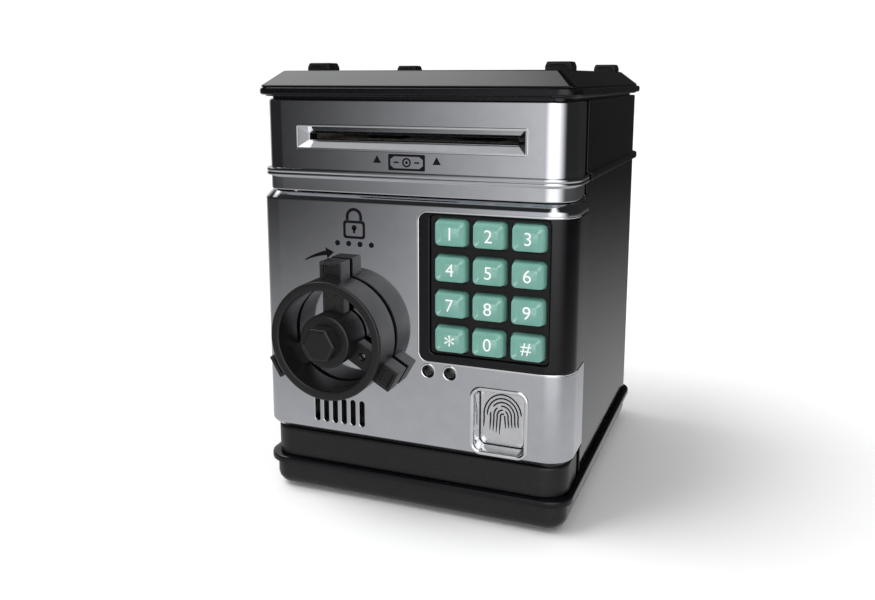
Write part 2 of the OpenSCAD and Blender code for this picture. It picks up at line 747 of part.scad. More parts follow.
// A key: tapered cap, a flange that the plate holds in, and a plunger
module key(col, row) color("mediumaquamarine") translate([key_x(col), 0, key_z(row)]) {
    root = plate_d - 0.4;
    hull() {
        key_step(0, root - 0.02, root);
        key_step(-0.6, key_face_d, key_face_d + 0.02);
    }
    key_step(0, root - 0.01, flange_d + 0.1);
    key_step(0.7, flange_d, flange_d + 1);
    rod_back(0, 0, 2, flange_d + 0.9, flange_d + plunger_l);
}

module key_1() key(0, 0);
module key_2() key(1, 0);
module key_3() key(2, 0);
module key_4() key(0, 1);
module key_5() key(1, 1);
module key_6() key(2, 1);
module key_7() key(0, 2);
module key_8() key(1, 2);
module key_9() key(2, 2);
module key_star() key(0, 3);
module key_0() key(1, 3);
module key_hash() key(2, 3);

// Rubber sheet with a dome under each key
module key_membrane() color("lightgray") {
    run_back(dome_d + 1.1, dome_d + 2.1)
        rounded(field[0] + 1.5, field[1] + 1.5, field[2] - 1.5, field[3] - 1.5, 2);
    for (col = [0:2], row = [0:3])
        rod_back(key_x(col), key_z(row), 3.6, dome_d, dome_d + 1.2);
}

module keypad_board() color("darkgreen") {
    run_back(8.7, 10.3) rounded(9, 70, 58.3, 128, 2);
    block(26, 42, 10.2, 12.2, 94, 108);
    block(14, 22, 10.2, 15, 76, 82);
}

module indicator_lenses() color("black")
    for (p = lens_at) {
        rod_back(p[0], p[1], lens_r - 0.1, 0.5, 6);
        rod_back(p[0], p[1], lens_r + 0.5, wall + 0.05, 4);
    }

module speaker() color("dimgray") {
    z = 45.5;
    difference() {
        rod_back(grille_x, z, 13.5, wall + 0.2, 8);
        rod_back(grille_x, z, 11.8, wall - 1, 3.4);
    }
    rod_back(grille_x, z, 7, 7.9, 12.5);
}

module scanner_surround() color("silver") difference() {
    union() {
        run_back(-0.6, -0.02) rounded(scanner[0], scanner[1], scanner[2], scanner[3], scanner_r);
        run_back(-0.1, 9) rounded(scanner[0] + 1.1, scanner[1] + 1.1,
                                  scanner[2] - 1.1, scanner[3] - 1.1, scanner_r - 1.1);
    }
    run_back(-1, 7.6) rounded(scanner[0] + 2.4, scanner[1] + 2.4,
                              scanner[2] - 2.4, scanner[3] - 2.4, scanner_r - 2.4);
}

module scanner_plate() color("gainsboro")
    run_back(5.6, 7.55) rounded(scanner[0] + 2.6, scanner[1] + 2.6,
                                scanner[2] - 2.6, scanner[3] - 2.6, 1.8);

// Rear cover of the door with the moving half of the hinge
module door_liner() color("black") difference() {
    union() {
        block(-liner_w, liner_w, liner_d, liner_d + liner_t, door_z0 + wall + gap,
              door_z1 - wall - gap);
        // Posts that carry the screws to the door's front
        for (x = [-62, 62], z = [36, 129.5]) rod_back(x, z, 3.5, 9, liner_d + 0.1);
        for (z = [129.2, 33]) {
            rod_up(hinge_x, hinge_d, 2.2, z, z + 3.8);
            block(63.6, 66.7, liner_d, hinge_d, z, z + 3.8);
        }
        // Pocket for the lock's coil
        block(lock_x - 9.4, lock_x - 7.9, 12, liner_d + 0.1, lock_z - 8, lock_z + 8);
        block(lock_x + 7.9, lock_x + 9.4, 12, liner_d + 0.1, lock_z - 8, lock_z + 8);
    }
    for (x = [-62, 62], z = [36, 129.5]) {
        rod_back(x, z, pilot_r, 8, 30);
        rod_back(x, z, 2.7, liner_d + liner_t - 1, 30);
    }
    rod_up(hinge_x, hinge_d, 1.05, 20, 150);
    rod_back(knob_x, knob_z, 5.4, 15, 30);
    rod_back(lock_x, lock_z, lock_r + 0.5, 15, 30);
}

module door_screws() color("silver")
    for (x = [-62, 62], z = [36, 129.5])
        translate([x, y_at(liner_d + liner_t - 0.95), z]) rotate([-90, 0, 0])
            screw(10, head_t = 0.9);

module knob_bush() color("silver") difference() {
    union() {
        rod_back(knob_x, knob_z, 8, -0.7, -0.02);
        rod_back(knob_x, knob_z, 5, -0.1, liner_d + liner_t + 1);
        rod_back(knob_x, knob_z, 8, wall + 0.05, wall + 2);
    }
    rod_back(knob_x, knob_z, shaft_r + 0.05, -2, 40);
}

module lock_solenoid() color("silver") difference() {
    union() {
        block(lock_x - 7.7, lock_x + 7.7, 9, 10.4, lock_z - 7.7, lock_z + 7.7);
        block(lock_x - 7.7, lock_x + 7.7, liner_d - 1.6, liner_d - 0.1,
              lock_z - 7.7, lock_z + 7.7);
        for (z = [lock_z - 7.7, lock_z + 6.3])
            block(lock_x - 7.7, lock_x + 7.7, 9, liner_d - 0.1, z, z + 1.4);
        rod_back(lock_x, lock_z, 6.2, 10.3, liner_d - 1.5);
    }
    rod_back(lock_x, lock_z, lock_r + 0.06, 10.4, 30);
}

module lock_pin() color("gray") {
    rod_back(lock_x, lock_z, lock_r, 14, cam_d - 0.5);
}

// ---- knob ----------------------------------------------------------------

module knob_wheel() color("dimgray") difference() {
    union() {
        difference() {
            rod_back(knob_x, knob_z, knob_r, -knob_front, -1);
            rod_back(knob_x, knob_z, knob_r - 3.9, -knob_front - 1, 0);
        }
        rod_back(knob_x, knob_z, 11, -knob_front, -1);
        for (a = spoke_angles) translate([knob_x, 0, knob_z]) rotate([0, -a, 0]) {
            // Spoke
            translate([9, y_at(-7.5), -4.8]) cube([knob_r - 11, 5.5, 9.6]);
            // Lug with a recessed face
            difference() {
                translate([knob_r - 1, y_at(-9.5), -5]) cube([8, 8.5, 10]);
                translate([knob_r + 1.2, y_at(-10), -3.4]) cube([4.2, 1.1, 6.8]);
            }
        }
    }
    rod_back(knob_x, knob_z, shaft_r + 0.02, -9.5, 0);
    rod_back(knob_x, knob_z, 5, -knob_front - 1, -9);
    translate([knob_x, 0, knob_z]) rotate([0, 30, 0])
        translate([14.8, y_at(-4.5), 0]) rotate([90, 0, 0]) cylinder(r = 1.6, h = 6);
}

// Six-sided cap that hides the knob's screw
module knob_cap() color("dimgray") {
    rod_back(knob_x, knob_z, 4.95, -knob_front - 0.1, -11.6);
    translate([knob_x, y_at(-knob_front - 0.02), knob_z]) rotate([90, 0, 0])
        cylinder(r = 7.6, h = cap_front - knob_front - 0.02, $fn = 6);
}

// Shaft with a screw head in the hub and a retaining washer behind the cam
module knob_shaft() color("silver") {
    rod_back(knob_x, knob_z, shaft_r, -9.4, cam_d + cam_t + 1.6);
    rod_back(knob_x, knob_z, 4.5, -11.4, -9.05);
    rod_back(knob_x, knob_z, 5.5, cam_d + cam_t + 0.05, cam_d + cam_t + 1.2);
}

module latch_cam() color("silver") difference() {
    run_back(cam_d, cam_d + cam_t) translate([knob_x, knob_z]) {
        circle(7.5);
        rotate(cam_rest) {
            translate([0, -4]) square([cam_reach - 4, 8]);
            translate([cam_reach - 4, 0]) circle(4);
        }
    }
    rod_back(knob_x, knob_z, shaft_r + 0.02, 20, 40);
}

base_tray();
feet();
battery_box();
battery_cells();
battery_contacts();
battery_cover();
cover_screw();
inner_floor();
front_plinth();
back_shell();
front_frame();
strike_plate();
head_fascia();
bill_slot_bezel();
feed_bracket();
feed_motor();
top_cover();
roof_blocks();
coin_chute();
main_board();
battery_lead();
hinge_pins();
case_screws();
drive_shaft();
drive_rollers();
drive_gear();
motor_pinion();
idler_shaft();
idler_rollers();
door_shell();
door_liner();
keypad_bezel();
keypad_plate();
key_membrane();
keypad_board();
indicator_lenses();
speaker();
scanner_surround();
scanner_plate();
knob_bush();
lock_solenoid();
door_screws();
lock_pin();
knob_wheel();
knob_cap();
knob_shaft();
latch_cam();
key_1();
key_2();
key_3();
key_4();
key_5();
key_6();
key_7();
key_8();
key_9();
key_star();
key_0();
key_hash();
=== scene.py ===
import bpy
import bmesh
import json
import math
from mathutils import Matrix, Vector


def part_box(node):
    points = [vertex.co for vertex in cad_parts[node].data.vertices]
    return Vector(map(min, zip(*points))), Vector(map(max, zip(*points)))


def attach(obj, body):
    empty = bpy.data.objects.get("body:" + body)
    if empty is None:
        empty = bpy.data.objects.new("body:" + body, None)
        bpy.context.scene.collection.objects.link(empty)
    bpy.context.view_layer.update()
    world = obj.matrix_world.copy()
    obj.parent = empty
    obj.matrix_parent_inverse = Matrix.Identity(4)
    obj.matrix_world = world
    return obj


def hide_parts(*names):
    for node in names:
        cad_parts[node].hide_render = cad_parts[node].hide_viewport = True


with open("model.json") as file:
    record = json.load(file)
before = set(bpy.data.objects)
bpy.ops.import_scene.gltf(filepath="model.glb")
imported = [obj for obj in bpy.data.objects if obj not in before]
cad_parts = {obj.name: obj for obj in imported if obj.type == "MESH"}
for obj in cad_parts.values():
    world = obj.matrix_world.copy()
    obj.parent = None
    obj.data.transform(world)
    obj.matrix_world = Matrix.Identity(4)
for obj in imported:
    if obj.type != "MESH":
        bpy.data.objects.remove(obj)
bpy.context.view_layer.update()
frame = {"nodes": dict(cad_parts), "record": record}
scene = bpy.context.scene
scene.view_settings.view_transform = "Standard"
MM = 0.001


# ---- places, in millimetres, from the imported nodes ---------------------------

def node_mm(name):
    """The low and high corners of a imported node's box."""
    lo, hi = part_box(name)
    return lo / MM, hi / MM


door_lo, door_hi = node_mm("door_shell")
head_lo, head_hi = node_mm("head_fascia")
plinth_lo, plinth_hi = node_mm("front_plinth")
shell_lo, shell_hi = node_mm("back_shell")
bush_lo, bush_hi = node_mm("knob_bush")
slot_lo, slot_hi = node_mm("bill_slot_bezel")
field_lo, field_hi = node_mm("keypad_plate")
scan_lo, scan_hi = node_mm("scanner_surround")
pad_lo, pad_hi = node_mm("scanner_plate")
lens_lo, lens_hi = node_mm("indicator_lenses")
chute_lo, chute_hi = node_mm("coin_chute")
roof_block_top = node_mm("roof_blocks")[1].z
knob_front = node_mm("knob_wheel")[0].y
cap_front = node_mm("knob_cap")[0].y
bezel_left = node_mm("keypad_bezel")[0].x

FRONT = door_lo.y                      # plane of the door's front
TRIM = 2.0                             # door, rim and ribs stand this far proud
WALL = 2.4                             # wall thickness of the shells
PANEL = FRONT + TRIM                   # plane of the case's front panels
BACK = shell_hi.y - TRIM               # plane of the back
HALF = plinth_hi.x                     # half width over the panels
CORNER = 8.0                           # radius of the case's corners
DOOR_R, HEAD_R = 11.0, 10.5            # radius of the door's and the head's front corners
RIB = (142.5, 145.7)                   # bottom and top of the moulding line
RIM = (176.5, 179.5)                   # bottom and top of the roof's rim
BEVEL = (180.5, 186.5)                 # bottom and top of the roof's bevel
SKIRT_TOP, FLANGE_TOP = 12.8, 16.0
POST_X, REAR_POST_DEPTH = 57.5, 144    # screw posts, from the middle and behind the front
FRONT_POST_DEPTH = 37
KNOB_X = (bush_lo.x + bush_hi.x) / 2
KNOB_Z = (bush_lo.z + bush_hi.z) / 2


def y_at(d):
    """The y of a point at depth d behind the door's front."""
    return FRONT + d


# ---- outlines ----------------------------------------------------------------

def corner(cx, cy, r, a0, a1, n):
    return [(cx + r * math.cos(math.radians(a0 + (a1 - a0) * i / n)),
             cy + r * math.sin(math.radians(a0 + (a1 - a0) * i / n)))
            for i in range(n + 1)]


def rect(x0, y0, x1, y1, r, n=6):
    r = max(r, 0.01)
    return (corner(x1 - r, y0 + r, r, -90, 0, n) + corner(x1 - r, y1 - r, r, 0, 90, n)
            + corner(x0 + r, y1 - r, r, 90, 180, n) + corner(x0 + r, y0 + r, r, 180, 270, n))


def dee(w, y0, y1, r, n=10):
    """Plan of a part that wraps both front corners; its back edge is straight."""
    return ([(-w, y1)] + corner(-w + r, y0 + r, r, 180, 270, n)
            + corner(w - r, y0 + r, r, 270, 360, n) + [(w, y1)])


def disc(cx, cy, r, n=48):
    return [(cx + r * math.cos(2 * math.pi * i / n), cy + r * math.sin(2 * math.pi * i / n))
            for i in range(n)]


# ---- mesh building -----------------------------------------------------------

def build(name, verts, faces):
    mesh = bpy.data.meshes.new(name)
    mesh.from_pydata([(x * MM, y * MM, z * MM) for x, y, z in verts], [], faces)
    bm = bmesh.new()
    bm.from_mesh(mesh)
    bmesh.ops.recalc_face_normals(bm, faces=bm.faces)
    bm.to_mesh(mesh)
    bm.free()
    obj = bpy.data.objects.new(name, mesh)
    scene.collection.objects.link(obj)
    return obj


def loft(name, rings, closed=False):
    """Skin over loops of equal length; the ends are capped unless it closes on itself."""
    n = len(rings[0])
    verts = [p for ring in rings for p in ring]
    faces = []
    count = len(rings)
    for k in range(count if closed else count - 1):
        a, b = k * n, ((k + 1) % count) * n
        for i in range(n):
            j = (i + 1) % n
            faces.append((a + i, a + j, b + j, b + i))
    if not closed:
        faces.append(tuple(range(n))[::-1])
        faces.append(tuple(range((count - 1) * n, count * n)))
    return build(name, verts, faces)


def upright(loop, z):
    return [(x, y, z) for x, y in loop]


def facing(loop, d):
    """A front-view loop placed at depth d behind the door's front."""
    return [(x, y_at(d), z) for x, z in loop]


def prism(loop, d0, d1, name="cutter"):
    return loft(name, [facing(loop, d0), facing(loop, d1)])


def tower(loop, z0, z1, name="cutter"):
    return loft(name, [upright(loop, z0), upright(loop, z1)])


def turned(name, profile, cx, cz, n=96):
    """Body of revolution about a line along the depth; profile is (radius, depth)."""
    return loft(name, [facing(disc(cx, cz, r, n), d) for r, d in profile])


def upturned(name, profile, cx, cy, n=48):
    return loft(name, [upright(disc(cx, cy, r, n), z) for r, z in profile])


def bake(obj):
    mesh = bpy.data.meshes.new_from_object(
        obj.evaluated_get(bpy.context.evaluated_depsgraph_get()))
    obj.modifiers.clear()
    obj.data = mesh
    return obj


def join(name, parts):
    bm = bmesh.new()
    for part in parts:
        bm.from_mesh(part.data)
        bpy.data.objects.remove(part)
    mesh = bpy.data.meshes.new(name)
    bm.to_mesh(mesh)
    bm.free()
    obj = bpy.data.objects.new(name, mesh)
    scene.collection.objects.link(obj)
    return obj


def carve(obj, cutters, operation="DIFFERENCE"):
    for cutter in cutters:
        m = obj.modifiers.new("cut", "BOOLEAN")
        m.object = cutter
        m.operation = operation
        m.solver = "EXACT"
    bake(obj)
    for cutter in cutters:
        bpy.data.objects.remove(cutter)
    return obj


def soften(obj, width, segments=3, angle=32):
    m = obj.modifiers.new("soft", "BEVEL")
    m.width = width * MM
    m.segments = segments
    m.limit_method = "ANGLE"
    m.angle_limit = math.radians(angle)
    m.use_clamp_overlap = False
    m.miter_outer = "MITER_ARC"
    return bake(obj)


def weld(obj, distance=0.001 * MM):
    """Merge the coincident points that cuts and bevels leave behind."""
    bm = bmesh.new()
    bm.from_mesh(obj.data)
    bmesh.ops.remove_doubles(bm, verts=bm.verts, dist=distance)
    bmesh.ops.dissolve_degenerate(bm, edges=bm.edges, dist=distance)
    bm.to_mesh(obj.data)
    bm.free()
    return obj


def flatten(obj, angle=0.5):
    """Merge neighbouring faces that lie in one plane."""
    bm = bmesh.new()
    bm.from_mesh(obj.data)
    bmesh.ops.dissolve_limit(bm, angle_limit=math.radians(angle), verts=bm.verts, edges=bm.edges)
    bm.to_mesh(obj.data)
    bm.free()
    return obj


def finish_piece(obj, material, body, replaces=(), sharp=38):
    obj.data.materials.clear()
    obj.data.materials.append(material)
    obj.data.shade_smooth()
    obj.data.set_sharp_from_angle(angle=math.radians(sharp))
    m = obj.modifiers.new("normals", "WEIGHTED_NORMAL")
    m.keep_sharp = True
    m.weight = 80
    bake(obj)
    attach(obj, body)
    if replaces:
        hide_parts(*replaces)
    return obj


# ---- materials ---------------------------------------------------------------

class Nodes:
    """A node tree with a principled shader and position-based coordinates."""

    def __init__(self, name):
        self.material = bpy.data.materials.new(name)
        self.material.use_nodes = True
        self.tree = self.material.node_tree
        self.shader = self.tree.nodes["Principled BSDF"]
        self.place = self.add("ShaderNodeTexCoord").outputs["Object"]

    def add(self, kind, **values):
        node = self.tree.nodes.new(kind)
        for key, value in values.items():
            setattr(node, key, value)
        return node

    def link(self, a, b):
        self.tree.links.new(a, b)

    def noise(self, scale, detail=3.0, stretch=None, rough=0.55):
        source = self.place
        if stretch:
            mapping = self.add("ShaderNodeMapping")
            mapping.inputs["Scale"].default_value = stretch
            self.link(source, mapping.inputs["Vector"])
            source = mapping.outputs["Vector"]
        node = self.add("ShaderNodeTexNoise")
        node.inputs["Scale"].default_value = scale
        node.inputs["Detail"].default_value = detail
        node.inputs["Roughness"].default_value = rough
        self.link(source, node.inputs["Vector"])
        return node.outputs["Fac"]

    def spread(self, value, lo, hi, at=(0.3, 0.7)):
        node = self.add("ShaderNodeMapRange")
        node.inputs["From Min"].default_value = at[0]
        node.inputs["From Max"].default_value = at[1]
        node.inputs["To Min"].default_value = lo
        node.inputs["To Max"].default_value = hi
        self.link(value, node.inputs["Value"])
        return node.outputs["Result"]

    def math(self, operation, a, b):
        node = self.add("ShaderNodeMath", operation=operation)
        for socket, value in zip(node.inputs, (a, b)):
            if isinstance(value, (int, float)):
                socket.default_value = value
            else:
                self.link(value, socket)
        return node.outputs[0]

    def mix(self, factor, a, b):
        node = self.add("ShaderNodeMix", data_type="RGBA")
        self.link(factor, node.inputs[0])
        for socket, value in zip((node.inputs[6], node.inputs[7]), (a, b)):
            if isinstance(value, tuple):
                socket.default_value = value
            else:
                self.link(value, socket)
        return node.outputs[2]

    def bumps(self, layers):
        """layers: (height output, strength, distance in mm)."""
        normal = None
        for height, strength, distance in layers:
            node = self.add("ShaderNodeBump")
            node.inputs["Strength"].default_value = strength
            node.inputs["Distance"].default_value = distance * MM
            self.link(height, node.inputs["Height"])
            if normal is not None:
                self.link(normal, node.inputs["Normal"])
            normal = node.outputs["Normal"]
        self.link(normal, self.shader.inputs["Normal"])

    def edge_wear_and_highlight(self, lo=0.52, hi=0.62):
        """High on convex edges, broken up by noise: a mask for edge wear and for a painted
        highlight along the edges.
        """
        edge = self.spread(self.add("ShaderNodeNewGeometry").outputs["Pointiness"],
                           0.0, 1.0, (lo, hi))
        return self.math("MULTIPLY", edge, self.spread(self.noise(900, 2), 0.2, 1.0))


def shade(rgb, k=1.0):
    return (rgb[0] * k, rgb[1] * k, rgb[2] * k, 1.0)


def finish(name, rgb, rough, metallic=0.0, vary=0.06, tone=0.12, grain=None, ripple=None,
           scuffs=0.0, edge=None, coat=0.0, coat_rough=0.05, specular=0.5, subsurface=0.0):
    """Moulded or plated surface: mottled tone, uneven gloss, grain, ripple, and lighter convex
    edges that are partly wear and partly painted highlight.
    """
    n = Nodes(name)
    s = n.shader
    s.inputs["Metallic"].default_value = metallic
    s.inputs["Specular IOR Level"].default_value = specular
    s.inputs["Coat Weight"].default_value = coat
    s.inputs["Coat Roughness"].default_value = coat_rough
    if subsurface:
        s.inputs["Subsurface Weight"].default_value = subsurface
        s.inputs["Subsurface Radius"].default_value = (0.6, 1.0, 0.8)
        s.inputs["Subsurface Scale"].default_value = 0.0015
    colour = n.mix(n.spread(n.noise(160, 4), 0.0, 1.0), shade(rgb, 1 - tone), shade(rgb, 1 + tone))
    # Lighter colour on convex edges: partly wear, partly a painted highlight along the edges
    if edge:
        colour = n.mix(n.edge_wear_and_highlight(), colour, shade(edge))
    n.link(colour, s.inputs["Base Color"])
    gloss = n.spread(n.noise(70, 5), rough - vary, rough + vary)
    if scuffs:
        lines = n.noise(260, 2, stretch=(1.0, 1.0, 9.0), rough=0.7)
        cross = n.noise(310, 2, stretch=(8.0, 1.5, 1.0), rough=0.7)
        marks = n.math("ADD", n.spread(lines, 0.0, scuffs, (0.62, 0.75)),
                       n.spread(cross, 0.0, scuffs, (0.64, 0.76)))
        gloss = n.math("ADD", gloss, marks)
    n.link(gloss, s.inputs["Roughness"])
    layers = []
    if ripple:
        layers.append((n.noise(ripple[0], 2), ripple[1], 0.2))
    if grain:
        layers.append((n.noise(grain[0], 3), grain[1], 0.03))
    if layers:
        n.bumps(layers)
    return n.material


chrome = finish("plated_grey", (0.60, 0.605, 0.635), 0.065, metallic=1.0, vary=0.02, tone=0.03,
                grain=(4200, 0.03), ripple=(38, 0.008), scuffs=0.04)
chrome_bright = finish("plated_bright", (0.80, 0.805, 0.82), 0.09, metallic=1.0, vary=0.025,
                       tone=0.03, grain=(4200, 0.03), ripple=(45, 0.008), scuffs=0.03)
gloss_black = finish("gloss_black", (0.0022, 0.0022, 0.0030), 0.085, vary=0.03, tone=0.25,
                     grain=(5200, 0.02), ripple=(48, 0.012), scuffs=0.04,
                     edge=(0.012, 0.012, 0.014), specular=0.30)
satin_black = finish("satin_black", (0.0085, 0.0087, 0.0092), 0.30, vary=0.06, tone=0.12,
                     grain=(3600, 0.22), ripple=(60, 0.02), scuffs=0.05,
                     edge=(0.03, 0.03, 0.032), specular=0.30)
matte_black = finish("matte_black", (0.0060, 0.0060, 0.0066), 0.50, vary=0.07, tone=0.2,
                     grain=(2600, 0.35), edge=(0.02, 0.02, 0.022), specular=0.22)
knob_plastic = finish("knob_plastic", (0.0075, 0.0075, 0.0082), 0.30, vary=0.06, tone=0.12,
                      grain=(3400, 0.28), scuffs=0.05, edge=(0.034, 0.034, 0.036), specular=0.34)
field_plastic = finish("field_plastic", (0.0075, 0.0065, 0.0070), 0.44, vary=0.06, tone=0.2,
                       grain=(2300, 0.45), specular=0.25)
# The keys' much lighter edge colour is mostly a painted highlight on their bevels, and partly wear
key_plastic = finish("key_plastic", (0.150, 0.345, 0.290), 0.36, vary=0.06, tone=0.06,
                     grain=(3000, 0.14), edge=(0.36, 0.58, 0.52), subsurface=0.10)
print_white = finish("print_white", (0.86, 0.88, 0.87), 0.45, tone=0.03, grain=(4200, 0.15))
print_black = finish("print_black", (0.004, 0.004, 0.007), 0.5, tone=0.2, grain=(4200, 0.2),
                     specular=0.1)
rubber = finish("rubber", (0.012, 0.012, 0.013), 0.72, tone=0.25, grain=(1900, 0.6))
silicone = finish("silicone", (0.50, 0.50, 0.48), 0.5, tone=0.08, grain=(2400, 0.25),
                  subsurface=0.2)
steel = finish("steel", (0.56, 0.565, 0.58), 0.28, metallic=1.0, vary=0.08, tone=0.08,
               grain=(3800, 0.12), scuffs=0.12)
brass = finish("brass", (0.76, 0.55, 0.22), 0.26, metallic=1.0, vary=0.07, tone=0.1,
               grain=(3800, 0.12), scuffs=0.1)
white_plastic = finish("white_plastic", (0.74, 0.73, 0.69), 0.42, tone=0.05, grain=(3000, 0.2))
board_green = finish("board_green", (0.018, 0.115, 0.045), 0.34, vary=0.08, tone=0.25,
                     grain=(900, 0.3), coat=0.4)
cell_wrap = finish("cell_wrap", (0.56, 0.36, 0.06), 0.25, vary=0.05, tone=0.1,
                   grain=(2500, 0.06), coat=0.5)
wire_red = finish("wire_red", (0.42, 0.025, 0.02), 0.45, tone=0.1, grain=(2500, 0.15))
lens_black = finish("lens_black", (0.002, 0.0018, 0.0025), 0.07, vary=0.02, tone=0.3,
                    ripple=(160, 0.02), specular=0.6)
silver_plastic = finish("silver_plastic", (0.70, 0.70, 0.71), 0.20, metallic=0.9, vary=0.05,
                        tone=0.05, grain=(3000, 0.10))
ridge_dark = finish("ridge_dark", (0.006, 0.006, 0.007), 0.4, tone=0.2, grain=(3600, 0.2),
                    specular=0.2)

SLOT_FINISH = {
    "chrome_front": chrome, "black_gloss": gloss_black, "base_satin": satin_black,
    "black_matte": matte_black, "keypad_field": field_plastic, "knob_plastic": knob_plastic,
    "key_plastic": key_plastic, "rubber": rubber, "silicone": silicone, "steel": steel,
    "brass": brass, "white_plastic": white_plastic, "circuit_board": board_green,
    "cell_wrap": cell_wrap, "wire": wire_red, "lens": lens_black,
    "silver_plastic": silver_plastic,
}
SLOT_OF = {part["node"]: part["material_slot"] for part in frame["record"]["subparts"]}
for name, obj in frame["nodes"].items():
    obj.data.materials.clear()
    obj.data.materials.append(SLOT_FINISH[SLOT_OF[name]])


# ---- case --------------------------------------------------------------------

def plan(out, r):
    return rect(-HALF - out, PANEL - out, HALF + out, BACK + out, r, 10)


# Skirt, flange and the tray's floor in one moulding
tray_rings = []
for inset, z in ((4.6, 1.5), (3.9, 1.5), (2.7, 1.75), (1.3, 2.75), (0.35, 4.4), (0.0, 6.2),
                 (0.0, SKIRT_TOP)):
    tray_rings.append(upright(plan(-inset, CORNER - inset * 0.6), z))
skirt = loft("base_skirt", tray_rings)
cell_lo, cell_hi = node_mm("battery_cover")
skirt = carve(skirt, [tower(rect(cell_lo.x - 0.2, cell_lo.y - 0.2, cell_hi.x + 0.2,
                                 cell_hi.y + 0.2, 0.3, 2), 0, 20),
                      tower(rect(-HALF + 6, PANEL + 6, HALF - 6, BACK - 6, 4), 4, 20)])
skirt = carve(skirt, [join("cutter", [
    upturned("c", ((2.8, 0), (2.8, 3.2), (1.4, 3.6), (1.4, 30)), x, y, 24)
    for x in (-POST_X, POST_X) for y in (y_at(FRONT_POST_DEPTH), y_at(REAR_POST_DEPTH))])])
soften(skirt, 0.3, 2, 50)
finish_piece(skirt, satin_black, "case", ("base_tray",))

flange_rings = []
for out, z in ((-1.0, SKIRT_TOP), (1.9, SKIRT_TOP), (2.35, SKIRT_TOP + 0.25),
               (2.5, SKIRT_TOP + 0.75), (2.5, FLANGE_TOP - 0.9), (2.3, FLANGE_TOP - 0.3),
               (1.7, FLANGE_TOP), (-0.5, FLANGE_TOP)):
    flange_rings.append(upright(plan(out, CORNER + out), z))
flange = loft("base_flange", flange_rings)
flange = carve(flange, [tower(rect(-HALF + 6, PANEL + 6, HALF - 6, BACK - 6, 4), 4, 20)])
finish_piece(flange, gloss_black, "case")

FOOT_X, FOOT_DEPTHS = 54, (15, 139)
for k, (x, y) in enumerate([(x, d) for d in FOOT_DEPTHS for x in (-FOOT_X, FOOT_X)]):
    foot = upturned(f"foot_{k}", ((5.6, 1.5), (7.0, 1.5), (7.0, 0.7), (6.8, 0.2), (6.3, 0.0),
                                  (4.6, 0.0), (4.3, 0.25), (2.0, 0.3)), x, y_at(y), 64)
    finish_piece(foot, rubber, "case", ("feet",) if k == 0 else ())

# Front plinth with rolled ends
plinth = loft("plinth", [upright(dee(HALF - i, PANEL + i, plinth_hi.y, DOOR_R - i), z)
                         for i, z in ((0.5, plinth_lo.z), (0.1, plinth_lo.z + 0.35),
                                      (0.0, plinth_lo.z + 0.9), (0.0, plinth_hi.z - 1.1),
                                      (0.12, plinth_hi.z - 0.5), (0.5, plinth_hi.z - 0.1),
                                      (0.9, plinth_hi.z))])
for side in (-1, 1):                   # its lower back corners are rounded off
    r = 4.5
    y1, z0 = plinth_hi.y + 0.02, plinth_lo.z - 0.05
    arc = [(y1 - r + r * math.sin(math.radians(a)), z0 + r - r * math.cos(math.radians(a)))
           for a in range(0, 91, 10)]
    loop = [(y1 + 1, z0 - 1), (y1 - r, z0 - 1)] + arc + [(y1 + 1, z0 + r)]
    cutter = loft("cutter", [[(side * (HALF - 6), y, z) for y, z in loop],
                             [(side * (HALF + 2), y, z) for y, z in loop]])
    plinth = carve(plinth, [cutter])
plinth = carve(plinth, [tower(dee(HALF - WALL, PANEL + WALL, plinth_hi.y + 2, DOOR_R - WALL),
                              plinth_lo.z - 1, plinth_hi.z - WALL)])
soften(plinth, 0.35, 3, 50)
weld(plinth)
finish_piece(plinth, satin_black, "case", ("front_plinth",))

# Back shell with its rib, open at the front
side_y = shell_lo.y
levels = [(0.4, shell_lo.z), (0.0, shell_lo.z + 0.4), (0.0, RIB[0] - 0.7), (0.25, RIB[0] - 0.15),
          (0.6, RIB[0]), (TRIM - 0.5, RIB[0]), (TRIM - 0.12, RIB[0] + 0.25),
          (TRIM, RIB[0] + 0.8), (TRIM, RIB[1] - 0.8), (TRIM - 0.12, RIB[1] - 0.25),
          (TRIM - 0.5, RIB[1]), (0.6, RIB[1]), (0.25, RIB[1] + 0.15), (0.0, RIB[1] + 0.7),
          (0.0, shell_hi.z - 0.5), (0.15, shell_hi.z - 0.15), (0.5, shell_hi.z)]
rings = []
for k, (out, z) in enumerate(levels):
    if k == 0 or k >= len(levels) - 2:   # the bottom edge and the two top ones turn inward
        out = -out
    rings.append(upright(plan(out, CORNER + out), z))
shell = loft("back_shell_skin", rings)
shell = carve(shell, [tower(rect(-HALF + WALL, PANEL - 20, HALF - WALL, BACK - WALL, 5.6), 0, 200),
                      tower(rect(-90, PANEL - 30, 90, side_y, 0.01, 1), 0, 200)])
soften(shell, 0.5, 3, 60)
finish_piece(shell, gloss_black, "case", ("back_shell",))
inner = []
for x in (-POST_X, POST_X):
    inner.append(upturned("post", ((4, 16.2), (4, 170.9), (3.6, 171.4), (1.25, 171.4)),
                          x, y_at(REAR_POST_DEPTH), 32))
    x0, x1 = sorted((x, math.copysign(HALF - WALL + 0.3, x)))
    web = rect(x0, y_at(REAR_POST_DEPTH - 1.5), x1, y_at(REAR_POST_DEPTH + 1.5), 0.3, 2)
    inner.append(tower(web, 27.4, 171.3, "web"))
for x in (-40, 40):
    for z in (145, 167):
        inner.append(turned("standoff", ((2.6, 144.7), (2.6, 149.9)), x, z, 24))
posts = join("shell_posts", inner)
soften(posts, 0.25, 2, 50)
finish_piece(posts, matte_black, "case")

